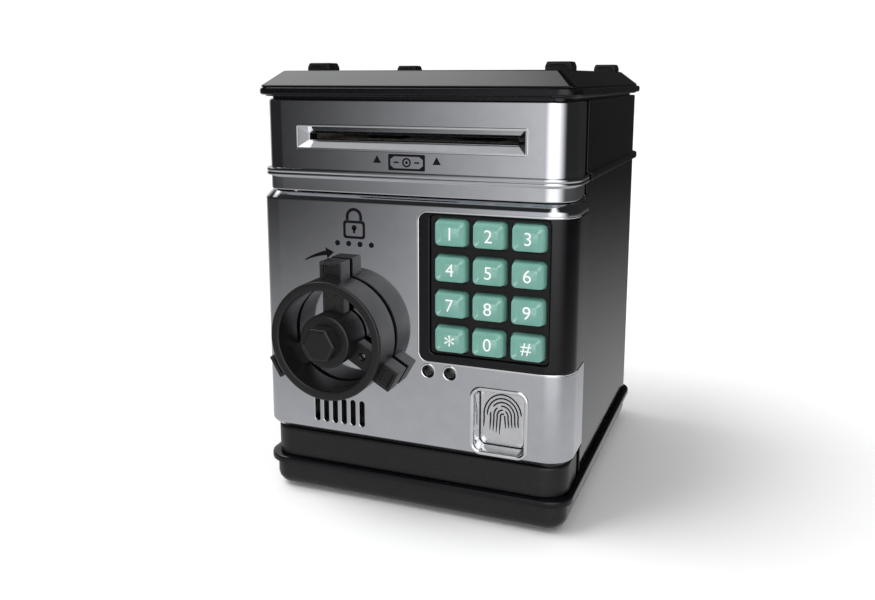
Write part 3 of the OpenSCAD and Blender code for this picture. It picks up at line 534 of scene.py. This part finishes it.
# Head panel with the moulding that runs round it
face_levels = [(-0.5, head_lo.z), (-0.12, head_lo.z + 0.15), (0.0, head_lo.z + 0.6),
               (0.0, RIB[0] - 0.55), (0.2, RIB[0] - 0.12), (0.5, RIB[0]), (TRIM - 0.75, RIB[0]),
               (TRIM - 0.22, RIB[0] + 0.22), (TRIM, RIB[0] + 0.75), (TRIM - 0.12, RIB[0] + 1.25),
               (TRIM - 0.5, RIB[0] + 1.6), (TRIM - 0.12, RIB[0] + 1.95), (TRIM, RIB[1] - 0.75),
               (TRIM - 0.22, RIB[1] - 0.22), (TRIM - 0.75, RIB[1]), (0.5, RIB[1]),
               (0.2, RIB[1] + 0.12), (0.0, RIB[1] + 0.55), (0.0, head_hi.z - 0.9),
               (-0.25, head_hi.z - 0.35), (-0.8, head_hi.z)]
head = loft("head_skin", [upright(dee(HALF + o, PANEL - o, head_hi.y, HEAD_R + o), z)
                          for o, z in face_levels])
slot_z = (slot_lo.z + slot_hi.z) / 2
head = carve(head, [tower(dee(HALF - WALL, PANEL + WALL, head_hi.y + 2, HEAD_R - WALL), 100, 200),
                    prism(rect(slot_lo.x + 1.2, slot_lo.z + 1.2, slot_hi.x - 1.2, slot_hi.z - 1.2,
                               0.3, 2), 0, 12)])
flatten(head)
weld(soften(head, 0.35, 3, 60))
finish_piece(head, chrome, "case", ("head_fascia",))

# Mouth of the banknote slot: mitred funnel faces and a raised outer edge
w, h = slot_hi.x, (slot_hi.z - slot_lo.z) / 2
mouth_w, mouth_h = 45.5, 1.4


def mouth(grow_w, grow_h, d, r):
    return facing(rect(-grow_w, slot_z - grow_h, grow_w, slot_z + grow_h, r, 4), d)


bezel = loft("slot_mouth", [
    mouth(w - 1.6, h - 1.6, TRIM + 0.4, 0.2), mouth(w - 0.1, h - 0.1, TRIM + 0.05, 0.8),
    mouth(w, h, TRIM - 0.25, 0.9), mouth(w, h, TRIM - 0.55, 0.9),
    mouth(w - 0.2, h - 0.2, TRIM - 0.78, 0.75), mouth(w - 0.5, h - 0.5, TRIM - 0.8, 0.5),
    mouth(w - 0.95, h - 0.95, TRIM - 0.72, 0.25), mouth(w - 1.1, h - 1.1, TRIM - 0.5, 0.2),
    mouth(mouth_w + 0.35, mouth_h + 0.3, 4.85, 0.15),
    mouth(mouth_w + 0.05, mouth_h + 0.05, 5.1, 0.1),
    mouth(mouth_w, mouth_h, 5.6, 0.1), mouth(mouth_w, mouth_h, 11.5, 0.1),
    mouth(mouth_w + 3, 3.8, 11.5, 0.1), mouth(mouth_w + 3, 3.8, TRIM + 0.4, 0.1)], closed=True)
finish_piece(bezel, chrome_bright, "case", ("bill_slot_bezel",), sharp=28)

# Matte black sheet over the walls of the slot's throat: painted shade inside the slot
throat_shade_gap, throat_shade_out = 0.06, 0.4
throat_shade_sheet = loft("slot_throat_shade", [
    mouth(mouth_w - throat_shade_gap, mouth_h - throat_shade_gap, 5.3, 0.1),
    mouth(mouth_w - throat_shade_gap, mouth_h - throat_shade_gap, 11.4, 0.1),
    mouth(mouth_w + throat_shade_out, mouth_h + throat_shade_out, 11.4, 0.1),
    mouth(mouth_w + throat_shade_out, mouth_h + throat_shade_out, 5.3, 0.1)], closed=True)
finish_piece(throat_shade_sheet, matte_black, "case", sharp=40)

# Roof: rolled rim, shadow groove, bevel and flat top
roof_rings = [upright(plan(-1.5, CORNER - 1.5), RIM[0] - 0.6),
              upright(plan(0.3, CORNER), RIM[0] - 0.6), upright(plan(0.3, CORNER), RIM[0])]
for out, z in ((1.3, RIM[0]), (1.75, RIM[0] + 0.2), (2.0, RIM[0] + 0.75), (2.0, RIM[1] - 0.8),
               (1.75, RIM[1] - 0.22), (1.3, RIM[1])):
    roof_rings.append(upright(plan(out, CORNER), z))
for inset, z, r in ((0.25, RIM[1], 3.5), (0.05, RIM[1] + 0.3, 2.6), (0.0, BEVEL[0] - 0.35, 2.2),
                    (0.25, BEVEL[0] - 0.02, 2.0), (0.7, BEVEL[0] + 0.28, 1.9),
                    (6.9, BEVEL[1] - 0.42, 1.6), (7.35, BEVEL[1] - 0.12, 1.5),
                    (8.2, BEVEL[1], 1.3)):
    roof_rings.append(upright(plan(-inset, r), z))
roof = loft("roof_skin", roof_rings)
COIN_HALF, COIN_GAP = 17.0, 2.3        # half length and half width of the coin slot
coin_y = (chute_lo.y + chute_hi.y) / 2


def coin_hole(grow, r, n):
    return rect(-COIN_HALF - grow, coin_y - COIN_GAP - grow,
                COIN_HALF + grow, coin_y + COIN_GAP + grow, r, n)


roof = carve(roof, [tower(rect(-HALF + 5, PANEL + 5, HALF - 5, BACK - 5, 4), 100, 179.3),
                    tower(coin_hole(0, 0.6, 4), 170, 200)])
soften(roof, 0.4, 3, 62)
finish_piece(roof, gloss_black, "case", ("top_cover",), sharp=30)

# Lips that locate the roof and the base inside the side panels
for name, finish_of, z0, z1, slot in (("roof_lip", gloss_black, 171.8, RIM[0] + 0.1, "black_gloss"),
                                      ("base_lip", satin_black, 15.9, 20.9, "base_satin")):
    ring = [upright(plan(-o, CORNER - o), z)
            for o, z in ((2.55, z0), (2.55, z1), (4.6, z1), (4.6, z0))]
    finish_piece(loft(name, ring, closed=True), finish_of, "case")

# Raised lip round the coin slot
lip = loft("coin_lip", [
    upright(coin_hole(g, r, 5), BEVEL[1] + z)
    for g, r, z in ((2.2, 2.4, -0.3), (2.2, 2.4, 0.25), (1.95, 2.2, 0.5), (0.5, 1.0, 0.5),
                    (0.1, 0.7, 0.25), (0.0, 0.6, -0.3), (0.0, 0.6, -2.0), (2.2, 2.4, -2.0))],
    closed=True)
finish_piece(lip, satin_black, "case")

# Roof blocks: bevelled, with a shallow panel in the outer and the front face
BLOCK_X, BLOCK_DEPTHS = 54.3, (35, 134)
for k, (bx, d) in enumerate([(x, d) for d in BLOCK_DEPTHS for x in (-BLOCK_X, BLOCK_X)]):
    by = y_at(d)
    block = loft(f"roof_block_{k}", [
        upright(rect(bx - 5.5 + i, by - 5 + i, bx + 5.5 - i, by + 5 - i, 0.6, 3), z)
        for i, z in ((0, BEVEL[1] - 0.2), (0, BEVEL[1] + 1.6), (0.35, roof_block_top - 0.9),
                     (0.55, roof_block_top - 0.25), (1.0, roof_block_top))])
    outer = math.copysign(1, bx)
    panel = rect(by - 3.3, BEVEL[1] + 0.7, by + 3.3, roof_block_top - 1.3, 0.5, 3)
    outer_cut = loft("cutter", [[(bx + outer * 5.1, a, b) for a, b in panel],
                                [(bx + outer * 7.0, a, b) for a, b in panel]])
    panel = rect(bx - 3.6, BEVEL[1] + 0.7, bx + 3.6, roof_block_top - 1.3, 0.5, 3)
    front_cut = loft("cutter", [[(a, by - 4.6, b) for a, b in panel],
                                [(a, by - 7.0, b) for a, b in panel]])
    block = carve(block, [outer_cut, front_cut])
    soften(block, 0.18, 2, 45)
    finish_piece(block, matte_black, "case",
                 ("roof_blocks",) if k == 0 else ())


# ---- door --------------------------------------------------------------------

DB = 2.8
door_levels = [(DB + 0.35, door_lo.z), (DB - 0.05, door_lo.z + 0.12), (0.3, door_lo.z + DB - 0.15),
               (0.06, door_lo.z + DB + 0.2), (0.0, door_lo.z + DB + 0.7),
               (0.0, door_hi.z - DB - 0.7), (0.06, door_hi.z - DB - 0.2),
               (0.3, door_hi.z - DB + 0.15), (DB - 0.05, door_hi.z - 0.12),
               (DB + 0.35, door_hi.z)]
W = door_hi.x
door = loft("door_skin", [upright(dee(W - i, FRONT + i, door_hi.y, DOOR_R - i), z)
                          for i, z in door_levels])
bx0, bz0, bz1 = bezel_left + 2.0, 68.5, 131.0    # left, bottom and top of the keypad bezel
PAST_EDGE = 90                                   # an x well beyond the door's right edge
window = rect(bx0 - 0.1, bz0 - 0.1, PAST_EDGE, bz1 + 0.1, 4.1, 8)
grille_x, grille_pitch, grille_count = -31.45, 4.3, 6
holes = [prism(window, -1, 40),
         prism(rect(scan_lo.x + 1, scan_lo.z + 1, scan_hi.x - 1, scan_hi.z - 1, 3.5, 8), -1, 9)]
slots = [grille_x + (i - (grille_count - 1) / 2) * grille_pitch for i in range(grille_count)]
holes.append(join("cutter", [prism(rect(x - 1.15, 35.8, x + 1.15, 47, 1.14, 8), -1, 9)
                             for x in slots]))
lens_r = 2.6
lens_z = (lens_lo.z + lens_hi.z) / 2
lens_x = (lens_lo.x + 3.1, lens_hi.x - 3.1)
holes.append(join("cutter", [prism(disc(x, lens_z, lens_r, 40), -1, 9) for x in lens_x]))
holes.append(prism(disc(KNOB_X, KNOB_Z, 5.1, 40), -1, 9))
hollow = tower(dee(W - WALL, FRONT + WALL, door_hi.y + 2, DOOR_R - WALL),
               door_lo.z + WALL, door_hi.z - WALL)
door = carve(door, [hollow] + holes)
soften(door, 0.42, 3, 60)
finish_piece(door, chrome, "door", ("door_shell",))

# Keypad bezel: gloss black, wraps the right-hand corner
pad_frame = loft("bezel_skin", [upright(dee(W - 0.02, FRONT + 0.02, door_hi.y, DOOR_R), z)
                                for z in (60, 70, 130, 134)])
outline = rect(bx0, bz0, PAST_EDGE, bz1, 4.0, 8)
pad_frame = carve(pad_frame, [prism(outline, -1, 40)], "INTERSECT")
fx0, fz0, fx1, fz1 = field_lo.x - 0.15, field_lo.z - 0.15, field_hi.x + 0.15, field_hi.z + 0.15
pad_frame = carve(pad_frame, [
    tower(dee(W - WALL, FRONT + WALL + 1.4, door_hi.y + 2, DOOR_R - WALL - 1), 60, 140),
    prism(rect(fx0, fz0, fx1, fz1, 2.0, 6), -1, 2.2),
    prism(rect(fx0 + 0.7, fz0 + 0.7, fx1 - 0.7, fz1 - 0.7, 2.0, 6), -1, 12)])
soften(pad_frame, 0.5, 3, 60)
finish_piece(pad_frame, gloss_black, "door", ("keypad_bezel",))

# Bright bead between the bezel and the plated front
BEAD_R, BEAD_END = 4, 57.0             # its corners' radius, and the x where its flat part ends
path = ([(BEAD_END, bz1)] + corner(bx0 + BEAD_R, bz1 - BEAD_R, BEAD_R, 90, 180, 8)
        + corner(bx0 + BEAD_R, bz0 + BEAD_R, BEAD_R, 180, 270, 8) + [(BEAD_END, bz0)])
bead = []
for k, (px, pz) in enumerate(path):
    a = path[max(k - 1, 0)]
    b = path[min(k + 1, len(path) - 1)]
    t = Vector((b[0] - a[0], b[1] - a[1])).normalized()
    nx, nz = t.y, -t.x
    ring = []
    for s, d in ((-0.42, 0.12), (-0.32, -0.18), (0.0, -0.3), (0.32, -0.18), (0.42, 0.12), (0, 0.3)):
        ring.append((px - nx * s, y_at(d), pz - nz * s))
    bead.append(ring)


def wrap_ring(a, z, up):
    """A ring of the bead, carried round the door's right-hand corner by angle a."""
    out_x, out_y = math.sin(math.radians(a)), -math.cos(math.radians(a))
    return [(W - DOOR_R + (DOOR_R - d) * out_x, FRONT + DOOR_R + (DOOR_R - d) * out_y, z + up * s)
            for s, d in ((-0.42, 0.12), (-0.32, 0.0), (0.0, 0.0), (0.32, 0.0), (0.42, 0.12),
                         (0, 0.3))]


wrap_angles = (3, 15, 30, 45, 60, 75, 90)
head_end = [wrap_ring(a, bz1, -1) for a in wrap_angles[::-1]]
tail_end = [wrap_ring(a, bz0, 1) for a in wrap_angles]
bead_obj = loft("bezel_bead", head_end + bead + tail_end)
finish_piece(bead_obj, chrome_bright, "door", sharp=50)

# Keypad plate with a softened edge at every key opening
key_names = [f"key_{k}" for k in "123456789"] + ["key_star", "key_0", "key_hash"]
key_marks = dict(zip(key_names, "123456789*0#"))
centres = {}
for name in key_names:
    lo, hi = node_mm(name)
    centres[name] = ((lo.x + hi.x) / 2, (lo.z + hi.z) / 2)
plate = prism(rect(fx0 + 0.15, fz0 + 0.15, fx1 - 0.15, fz1 - 0.15, 1.9, 6), 1.0, 2.2, "pad_plate")
plate = carve(plate, [join("cutter", [
    prism(rect(x - 7.2, z - 5.8, x + 7.2, z + 5.8, 2.2, 6), -1, 5) for x, z in centres.values()])])
soften(plate, 0.3, 3, 60)
finish_piece(plate, field_plastic, "door", ("keypad_plate",))

for name, (x, z) in centres.items():
    lo, hi = node_mm(name)
    top = lo.y - FRONT
    rings = []
    for i, d, r in ((-0.7, 3.5, 1.9), (-0.7, 2.5, 1.9), (0.0, 2.48, 1.9), (0.0, 1.2, 1.9),
                    (0.06, 0.6, 1.9), (0.34, top + 1.15, 1.8), (0.46, top + 0.8, 1.7),
                    (0.85, top + 0.38, 1.45), (1.3, top + 0.10, 1.2), (1.75, top + 0.02, 0.9),
                    (2.8, top, 0.5)):
        rings.append(facing(rect(x - 6.8 + i, z - 5.4 + i, x + 6.8 - i, z + 5.4 - i, r, 5), d))
    cap = loft(name + "_cap", rings)
    finish_piece(cap, key_plastic, name, (name,), sharp=60)
    curve = bpy.data.curves.new(name + "_mark", "FONT")
    curve.body = key_marks[name]
    curve.size = (7.4 if key_marks[name] != "*" else 10.5) * MM
    curve.align_x = "CENTER"
    curve.extrude = 0.07 * MM
    curve.offset = -0.04 * MM
    curve.bevel_depth = 0.03 * MM
    text = bpy.data.objects.new(name + "_text", curve)
    scene.collection.objects.link(text)
    bpy.context.view_layer.update()
    mesh = bpy.data.meshes.new_from_object(
        text.evaluated_get(bpy.context.evaluated_depsgraph_get()))
    bpy.data.objects.remove(text)
    xs = [v.co.x for v in mesh.vertices]
    ys = [v.co.y for v in mesh.vertices]
    mx, my = (min(xs) + max(xs)) / 2, (min(ys) + max(ys)) / 2
    for v in mesh.vertices:
        v.co = Vector(((v.co.x - mx) + x * MM, (y_at(top) + 0.01) * MM - v.co.z,
                       (v.co.y - my) + z * MM))
    mark = bpy.data.objects.new(name + "_mark", mesh)
    scene.collection.objects.link(mark)
    bm = bmesh.new()
    bm.from_mesh(mesh)
    bmesh.ops.recalc_face_normals(bm, faces=bm.faces)
    bm.to_mesh(mesh)
    bm.free()
    mesh.materials.clear()
    mesh.materials.append(print_white)
    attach(mark, name)

# Domed indicator lenses with a bright ring
for k, x in enumerate(lens_x):
    lens = turned(f"lens_{k}", ((2.5, 3.0), (2.5, 0.75), (2.3, 0.5), (1.7, 0.3), (0.9, 0.18),
                                (0.3, 0.15)), x, lens_z, 48)
    finish_piece(lens, lens_black, "door", ("indicator_lenses",) if k == 0 else ())
    ring = loft(f"lens_ring_{k}", [facing(disc(x, lens_z, r, 48), d)
                                   for r, d in ((2.6, 0.4), (2.6, -0.08), (2.8, -0.2), (3.1, -0.2),
                                                (3.25, -0.05), (3.2, 0.4))], closed=True)
    finish_piece(ring, chrome_bright, "door")

# Scanner: rolled surround, deep well, plate with concentric ridges
sr = 4.5
sx0, sz0, sx1, sz1 = scan_lo.x, scan_lo.z, scan_hi.x, scan_hi.z


def well(i, d):
    return facing(rect(sx0 + i, sz0 + i, sx1 - i, sz1 - i, max(sr - i, 0.8), 8), d)


surround = loft("scanner_rim", [
    well(1.1, 1.0), well(0.15, -0.02), well(0.0, -0.15), well(0.12, -0.42), well(0.45, -0.58),
    well(0.9, -0.6), well(1.35, -0.5), well(1.7, -0.15), well(1.95, 0.5), well(2.4, 3.2),
    well(2.45, 7.4), well(2.3, 8.8), well(1.1, 8.8)], closed=True)
finish_piece(surround, chrome_bright, "door", ("scanner_surround",), sharp=45)
px0, pz0, px1, pz1 = pad_lo.x, pad_lo.z, pad_hi.x, pad_hi.z
pad_d = pad_lo.y - FRONT
pad = loft("scanner_pad", [
    facing(rect(px0 + i, pz0 + i, px1 - i, pz1 - i, 2.0, 6), d)
    for i, d in ((0.0, pad_d + 1.9), (0.0, pad_d + 0.6), (0.25, pad_d + 0.2),
                 (0.8, pad_d + 0.02), (2.2, pad_d))])
finish_piece(pad, silver_plastic, "door", ("scanner_plate",))
mid_x, mid_z = (px0 + px1) / 2, (pz0 + pz1) / 2
ridges = []
for k in range(6):
    r = 0.9 + 1.42 * k
    legs = 8.6 - 0.9 * k
    points = []
    for a in range(-10, 191, 8):
        points.append((mid_x + r * math.cos(math.radians(a)),
                       mid_z + 0.9 + 1.16 * r * math.sin(math.radians(a))))
    right = [(points[0][0] + 0.10 * t, points[0][1] - t) for t in (legs * 0.55, legs * 0.3)]
    left = [(points[-1][0] - 0.06 * t, points[-1][1] - t) for t in (legs * 0.4, legs * 0.9)]
    line = right + points + left
    gap_at = (7 + 5 * k) % len(line)
    for part in (line[:gap_at], line[gap_at + 2:]):
        if len(part) < 3:
            continue
        rings = []
        for i, (qx, qz) in enumerate(part):
            a, b = part[max(i - 1, 0)], part[min(i + 1, len(part) - 1)]
            t = Vector((b[0] - a[0], b[1] - a[1])).normalized()
            half = 0.38 if 0 < i < len(part) - 1 else 0.18
            rings.append([(qx - t.y * s, y_at(pad_d + e), qz + t.x * s)
                          for s, e in ((-half, 0.04), (-half * 0.6, -0.09), (half * 0.6, -0.09),
                                       (half, 0.04))])
        ridges.append(loft("ridge", rings))
ridge = join("scanner_ridges", ridges)
finish_piece(ridge, ridge_dark, "door", sharp=60)


# ---- printed marks -----------------------------------------------------------

INK, SUNK = 0.05, 0.02                 # how far a mark stands proud, and reaches in


def flat_shape(loops, d):
    return [prism(loop, d - INK, d + SUNK, "shape") for loop in loops]


def band(loop_out, loop_in, d):
    """A flat ring between two outlines."""
    return loft("shape", [facing(loop_out, d + SUNK), facing(loop_out, d - INK),
                          facing(loop_in, d - INK), facing(loop_in, d + SUNK)], closed=True)


def stroke(points, half, d):
    """A flat line along points; half is its half width, or a list with one for each point."""
    rings = []
    for i, (qx, qz) in enumerate(points):
        a, b = points[max(i - 1, 0)], points[min(i + 1, len(points) - 1)]
        t = Vector((b[0] - a[0], b[1] - a[1])).normalized()
        h = half[i] if isinstance(half, list) else half
        rings.append([(qx - t.y * s, y_at(e), qz + t.x * s)
                      for s, e in ((-h, d + SUNK), (-h, d - INK), (h, d - INK), (h, d + SUNK))])
    return loft("shape", rings)


# Padlock above the knob
lx, lz = -22.9, 121.8
marks = [band(rect(lx - 5.0, lz - 4.0, lx + 5.0, lz + 3.6, 1.3, 6),
              rect(lx - 3.9, lz - 2.9, lx + 3.9, lz + 2.5, 0.8, 6), 0)]
marks += flat_shape([disc(lx, lz + 0.6, 1.15, 32)], 0)
marks.append(stroke([(lx, lz + 0.4), (lx, lz - 1.7)], 0.5, 0))
SHACKLE_R = 3.1
shackle = ([(lx + SHACKLE_R, lz + 3.7)] + corner(lx, lz + 5.2, SHACKLE_R, 0, 180, 18)
           + [(lx - SHACKLE_R, lz + 3.7)])
marks.append(stroke(shackle, 0.65, 0))
# Four dots of a passcode under it
marks += flat_shape([disc(lx + (k - 1.5) * 5.2, 115.6, 1.15, 28) for k in range(4)], 0)
# Turning arrow over the knob's lug
arc = [(KNOB_X + 34.6 * math.cos(math.radians(a)), KNOB_Z + 34.6 * math.sin(math.radians(a)))
       for a in range(119, 99, -2)]
marks.append(stroke(arc, [0.25 + 0.75 * i / (len(arc) - 1) for i in range(len(arc))], 0))
tip = [(KNOB_X + r * math.cos(math.radians(a)), KNOB_Z + r * math.sin(math.radians(a)))
       for r, a in ((37.0, 101.0), (32.2, 101.0), (34.6, 95.0))]
marks += flat_shape([tip[::-1]], 0)
door_marks = join("door_marks", marks)
finish_piece(door_marks, print_black, "door", sharp=60)

# Banknote outline between two arrowheads under the slot
nz = 150.0
note = [band(rect(-8, nz - 3.3, 8, nz + 3.3, 0.5, 4),
             rect(-7.1, nz - 2.4, 7.1, nz + 2.4, 0.3, 4), TRIM),
        band(disc(0, nz, 1.9, 40), disc(0, nz, 1.25, 40), TRIM)]
note += flat_shape([disc(0, nz, 0.6, 24)], TRIM)
for sx in (-1, 1):
    note.append(stroke([(sx * 3.4, nz), (sx * 5.6, nz)], 0.32, TRIM))
    for sz in (-1, 1):
        note += flat_shape([[(sx * 7.1, nz + sz * 2.4), (sx * 5.5, nz + sz * 2.4),
                             (sx * 7.1, nz + sz * 1.2)]], TRIM)
    note += flat_shape([[(sx * 13 - 1.8, nz - 0.5), (sx * 13 + 1.8, nz - 0.5),
                         (sx * 13, nz + 2.6)]], TRIM)
head_marks = join("head_marks", note)
finish_piece(head_marks, print_black, "case", sharp=60)


# ---- knob --------------------------------------------------------------------

face_d = knob_front - FRONT            # front of the ring
R = 25.2
ri = R - 3.9
drum = loft("drum", [facing(disc(KNOB_X, KNOB_Z, r, 128), d) for r, d in (
    (R - 0.5, -1.0), (R, -1.5), (R, face_d + 0.9), (R - 0.12, face_d + 0.42),
    (R - 0.45, face_d + 0.1), (R - 0.95, face_d), (ri + 0.8, face_d), (ri + 0.35, face_d + 0.12),
    (ri + 0.08, face_d + 0.5), (ri, face_d + 1.0), (ri - 0.12, -1.4), (ri + 0.3, -1.0))],
    closed=True)
hub = loft("hub", [facing(disc(KNOB_X, KNOB_Z, r, 96), d) for r, d in (
    (11.3, -1.0), (11.3, face_d + 1.0), (11.2, face_d + 0.5), (10.85, face_d + 0.12),
    (10.3, face_d), (6.0, face_d), (5.0, face_d + 0.2), (5.0, -1.0))], closed=True)


def turned_box(angle, x0, x1, d0, d1, half, name="arm"):
    """A bar along a radius of the knob, x0 to x1 out from its middle."""
    a = math.radians(angle)
    loop = rect(x0, -half, x1, half, 0.01, 1)[::2]
    loop = [(KNOB_X + x * math.cos(a) - z * math.sin(a), KNOB_Z + x * math.sin(a) + z * math.cos(a))
            for x, z in loop]
    return prism(loop, d0, d1, name)


arms = []
lugs = []
for angle in (90, 210, 330):
    arms.append(turned_box(angle, 10.2, ri + 0.4, -7.5, -2.0, 4.8))
    lug = turned_box(angle, R - 1.2, R + 7, -9.5, -1.0, 5, "lug")
    lug = carve(lug, [turned_box(angle, R + 1.2, R + 5.4, -10.5, -8.4, 3.4, "cutter")])
    lugs.append(soften(lug, 0.45, 3, 40))
spoke_set = join("spokes", arms)
a = math.radians(-30)
hx, hz = KNOB_X + 14.8 * math.cos(a), KNOB_Z + 14.8 * math.sin(a)
spoke_set = carve(spoke_set, [prism(disc(hx, hz, 1.6, 32), -12, -3.5)])
soften(spoke_set, 0.35, 3, 40)
finish_piece(drum, knob_plastic, "knob", ("knob_wheel",), sharp=50)
finish_piece(hub, knob_plastic, "knob", sharp=50)
drum.name, hub.name = "knob_drum", "knob_hub"
spoke_set.name = "knob_spokes"
finish_piece(spoke_set, knob_plastic, "knob")
lug_set = join("knob_lugs", lugs)
finish_piece(lug_set, knob_plastic, "knob")

# Screw at the bottom of the spoke's hole
screw = turned("spoke_screw", ((1.5, -3.4), (1.5, -4.7), (1.35, -4.95), (0.7, -5.15), (0.2, -5.2)),
               hx, hz, 32)
screw = carve(screw, [prism(rect(hx - 0.95, hz - 0.2, hx + 0.95, hz + 0.2, 0.02, 1), -6, -4.7),
                      prism(rect(hx - 0.2, hz - 0.95, hx + 0.2, hz + 0.95, 0.02, 1), -6, -4.7)])
weld(screw)
finish_piece(screw, steel, "knob")

# Six-sided cap with a bevelled crown
cap_d = cap_front - FRONT
HEX_INSET, HEX_R = 1.0, 0.875          # middle of each rounded corner, and its radius


def hexagon(r, d):
    points = []
    for angle in range(0, 360, 60):
        a = math.radians(angle)
        cx, cz = (r - HEX_INSET) * math.cos(a), (r - HEX_INSET) * math.sin(a)
        points += corner(KNOB_X + cx, KNOB_Z + cz, HEX_R, angle - 30, angle + 30, 4)
    return facing(points, d)


cap = loft("knob_cap_skin", [hexagon(7.6, face_d + 0.1), hexagon(7.6, cap_d + 1.0),
                             hexagon(7.5, cap_d + 0.6), hexagon(7.15, cap_d + 0.22),
                             hexagon(6.6, cap_d + 0.03), hexagon(5.8, cap_d)])
finish_piece(cap, knob_plastic, "knob", ("knob_cap",), sharp=50)


# ---- stage, camera and light -------------------------------------------------

def stage_material(name, rgb):
    n = Nodes(name)
    n.shader.inputs["Roughness"].default_value = 0.9
    n.shader.inputs["Specular IOR Level"].default_value = 0.1
    n.link(n.mix(n.spread(n.noise(3, 3), 0, 1), shade(rgb, 0.985), shade(rgb, 1.0)),
           n.shader.inputs["Base Color"])
    return n.material


floor = build("floor", [(-4000, -4000, 0), (4000, -4000, 0), (4000, 4000, 0), (-4000, 4000, 0)],
              [(0, 1, 2, 3)])
floor.data.materials.append(stage_material("pale_floor", (0.97, 0.97, 0.97)))
floor.visible_glossy = False

camera_data = bpy.data.cameras.new("camera")
camera = bpy.data.objects.new("camera", camera_data)
scene.collection.objects.link(camera)
scene.camera = camera
# Viewing angle and distance that suit the photograph, and a small shift for its framing
yaw, pitch, reach = math.radians(21.22), math.radians(10.31), 435.67
target = Vector((-15.76, 10.5, 105.54)) * MM
away = Vector((math.sin(yaw) * math.cos(pitch), -math.cos(yaw) * math.cos(pitch), math.sin(pitch)))
camera.location = target + away * reach * MM
camera.rotation_euler = (-away).to_track_quat("-Z", "Y").to_euler()
camera_data.sensor_width = 36
camera_data.lens = 36.246
camera_data.shift_y = -0.07086
camera_data.clip_start = 0.01

world = bpy.data.worlds.new("studio")
scene.world = world
world.use_nodes = True
wt = world.node_tree
wt.nodes.clear()


def wnode(kind, **values):
    node = wt.nodes.new(kind)
    for key, value in values.items():
        setattr(node, key, value)
    return node


def wmath(operation, a, b=0.0):
    node = wnode("ShaderNodeMath", operation=operation)
    for socket, value in zip(node.inputs, (a, b)):
        if isinstance(value, (int, float)):
            socket.default_value = value
        else:
            wt.links.new(value, socket)
    return node.outputs[0]


def wramp(value, lo, hi):
    """Rises smoothly from 0 at lo to 1 at hi."""
    node = wnode("ShaderNodeMapRange", interpolation_type="SMOOTHSTEP")
    node.inputs["From Min"].default_value = lo
    node.inputs["From Max"].default_value = hi
    wt.links.new(value, node.inputs["Value"])
    return node.outputs["Result"]


def softbox(angle, start, end, edge):
    """1 between two angles and 0 outside them, with soft edges."""
    rising = wramp(angle, start - edge, start + edge)
    falling = wmath("SUBTRACT", 1.0, wramp(angle, end - edge, end + edge))
    return wmath("MULTIPLY", rising, falling)


def background(colour, strength):
    node = wnode("ShaderNodeBackground")
    node.inputs["Color"].default_value = (*colour, 1)
    if isinstance(strength, float):
        node.inputs["Strength"].default_value = strength
    else:
        wt.links.new(strength, node.inputs["Strength"])
    return node.outputs[0]


def wpick(flag, a, b):
    """Background b for the rays that flag marks, and a for the others."""
    node = wnode("ShaderNodeMixShader")
    wt.links.new(flag, node.inputs[0])
    wt.links.new(a, node.inputs[1])
    wt.links.new(b, node.inputs[2])
    return node.outputs[0]


coord = wnode("ShaderNodeTexCoord").outputs["Generated"]
split = wnode("ShaderNodeSeparateXYZ")
wt.links.new(coord, split.inputs[0])
dx, dy, dz = split.outputs
turn = wmath("ARCTAN2", dx, wmath("MULTIPLY", dy, -1.0))
turn = wmath("MULTIPLY", turn, 180 / math.pi)
height = wmath("MULTIPLY", wmath("ARCSINE", dz), 180 / math.pi)

# Turn is 0 straight in front and grows to the right; height is 0 at the horizon
DARK_ROOM = 0.03
FRONT_BOX, BACK_BOX, TOP_BOX, PALE_FLOOR = 2.0, 0.9, 5.0, 0.6
front_box = wmath("MULTIPLY", softbox(turn, -10, 55, 25), FRONT_BOX)
back_box = wmath("MULTIPLY", softbox(turn, -150, -120, 15), BACK_BOX)
top_box = wmath("MULTIPLY", softbox(turn, -130, -90, 15), softbox(height, 45, 75, 10))
top_box = wmath("MULTIPLY", top_box, TOP_BOX)
panels = wmath("ADD", wmath("ADD", front_box, back_box), wmath("ADD", top_box, DARK_ROOM))
above_floor = wramp(height, -25, -5)
brightness = wmath("ADD", wmath("MULTIPLY", panels, above_floor),
                   wmath("MULTIPLY", wmath("SUBTRACT", 1.0, above_floor), PALE_FLOOR))

# Gloss sees the boxes; matt surfaces get an even light, and the camera a white backdrop
EVEN_LIGHT, BACKDROP = 0.70, 1.0
rays = wnode("ShaderNodeLightPath")
light = wpick(rays.outputs["Is Diffuse Ray"], background((0.985, 0.99, 1.0), brightness),
              background((1, 1, 1), EVEN_LIGHT))
light = wpick(rays.outputs["Is Camera Ray"], light, background((1, 1, 1), BACKDROP))
out = wnode("ShaderNodeOutputWorld")
wt.links.new(light, out.inputs["Surface"])

sun_data = bpy.data.lights.new("key_light", "SUN")
sun_data.energy = 1.75
sun_data.angle = math.radians(40)      # wide, so that the shadow is soft
sun = bpy.data.objects.new("key_light", sun_data)
scene.collection.objects.link(sun)
sun.rotation_euler = Vector((0.58, 0.24, -1.0)).to_track_quat("-Z", "Y").to_euler()
sun.visible_glossy = False


# A weak square lamp at the left front, aimed at the knob
lamp_data = bpy.data.lights.new("knob_light", "AREA")
lamp_data.size = 260 * MM
lamp_data.energy = 0.6
lamp = bpy.data.objects.new("knob_light", lamp_data)
scene.collection.objects.link(lamp)
lamp.location = Vector((-420, -520, 260)) * MM
to_knob = Vector((-30, -70, 77)) * MM - lamp.location
lamp.rotation_euler = to_knob.to_track_quat("-Z", "Y").to_euler()
lamp.visible_camera = False
lamp.visible_glossy = False
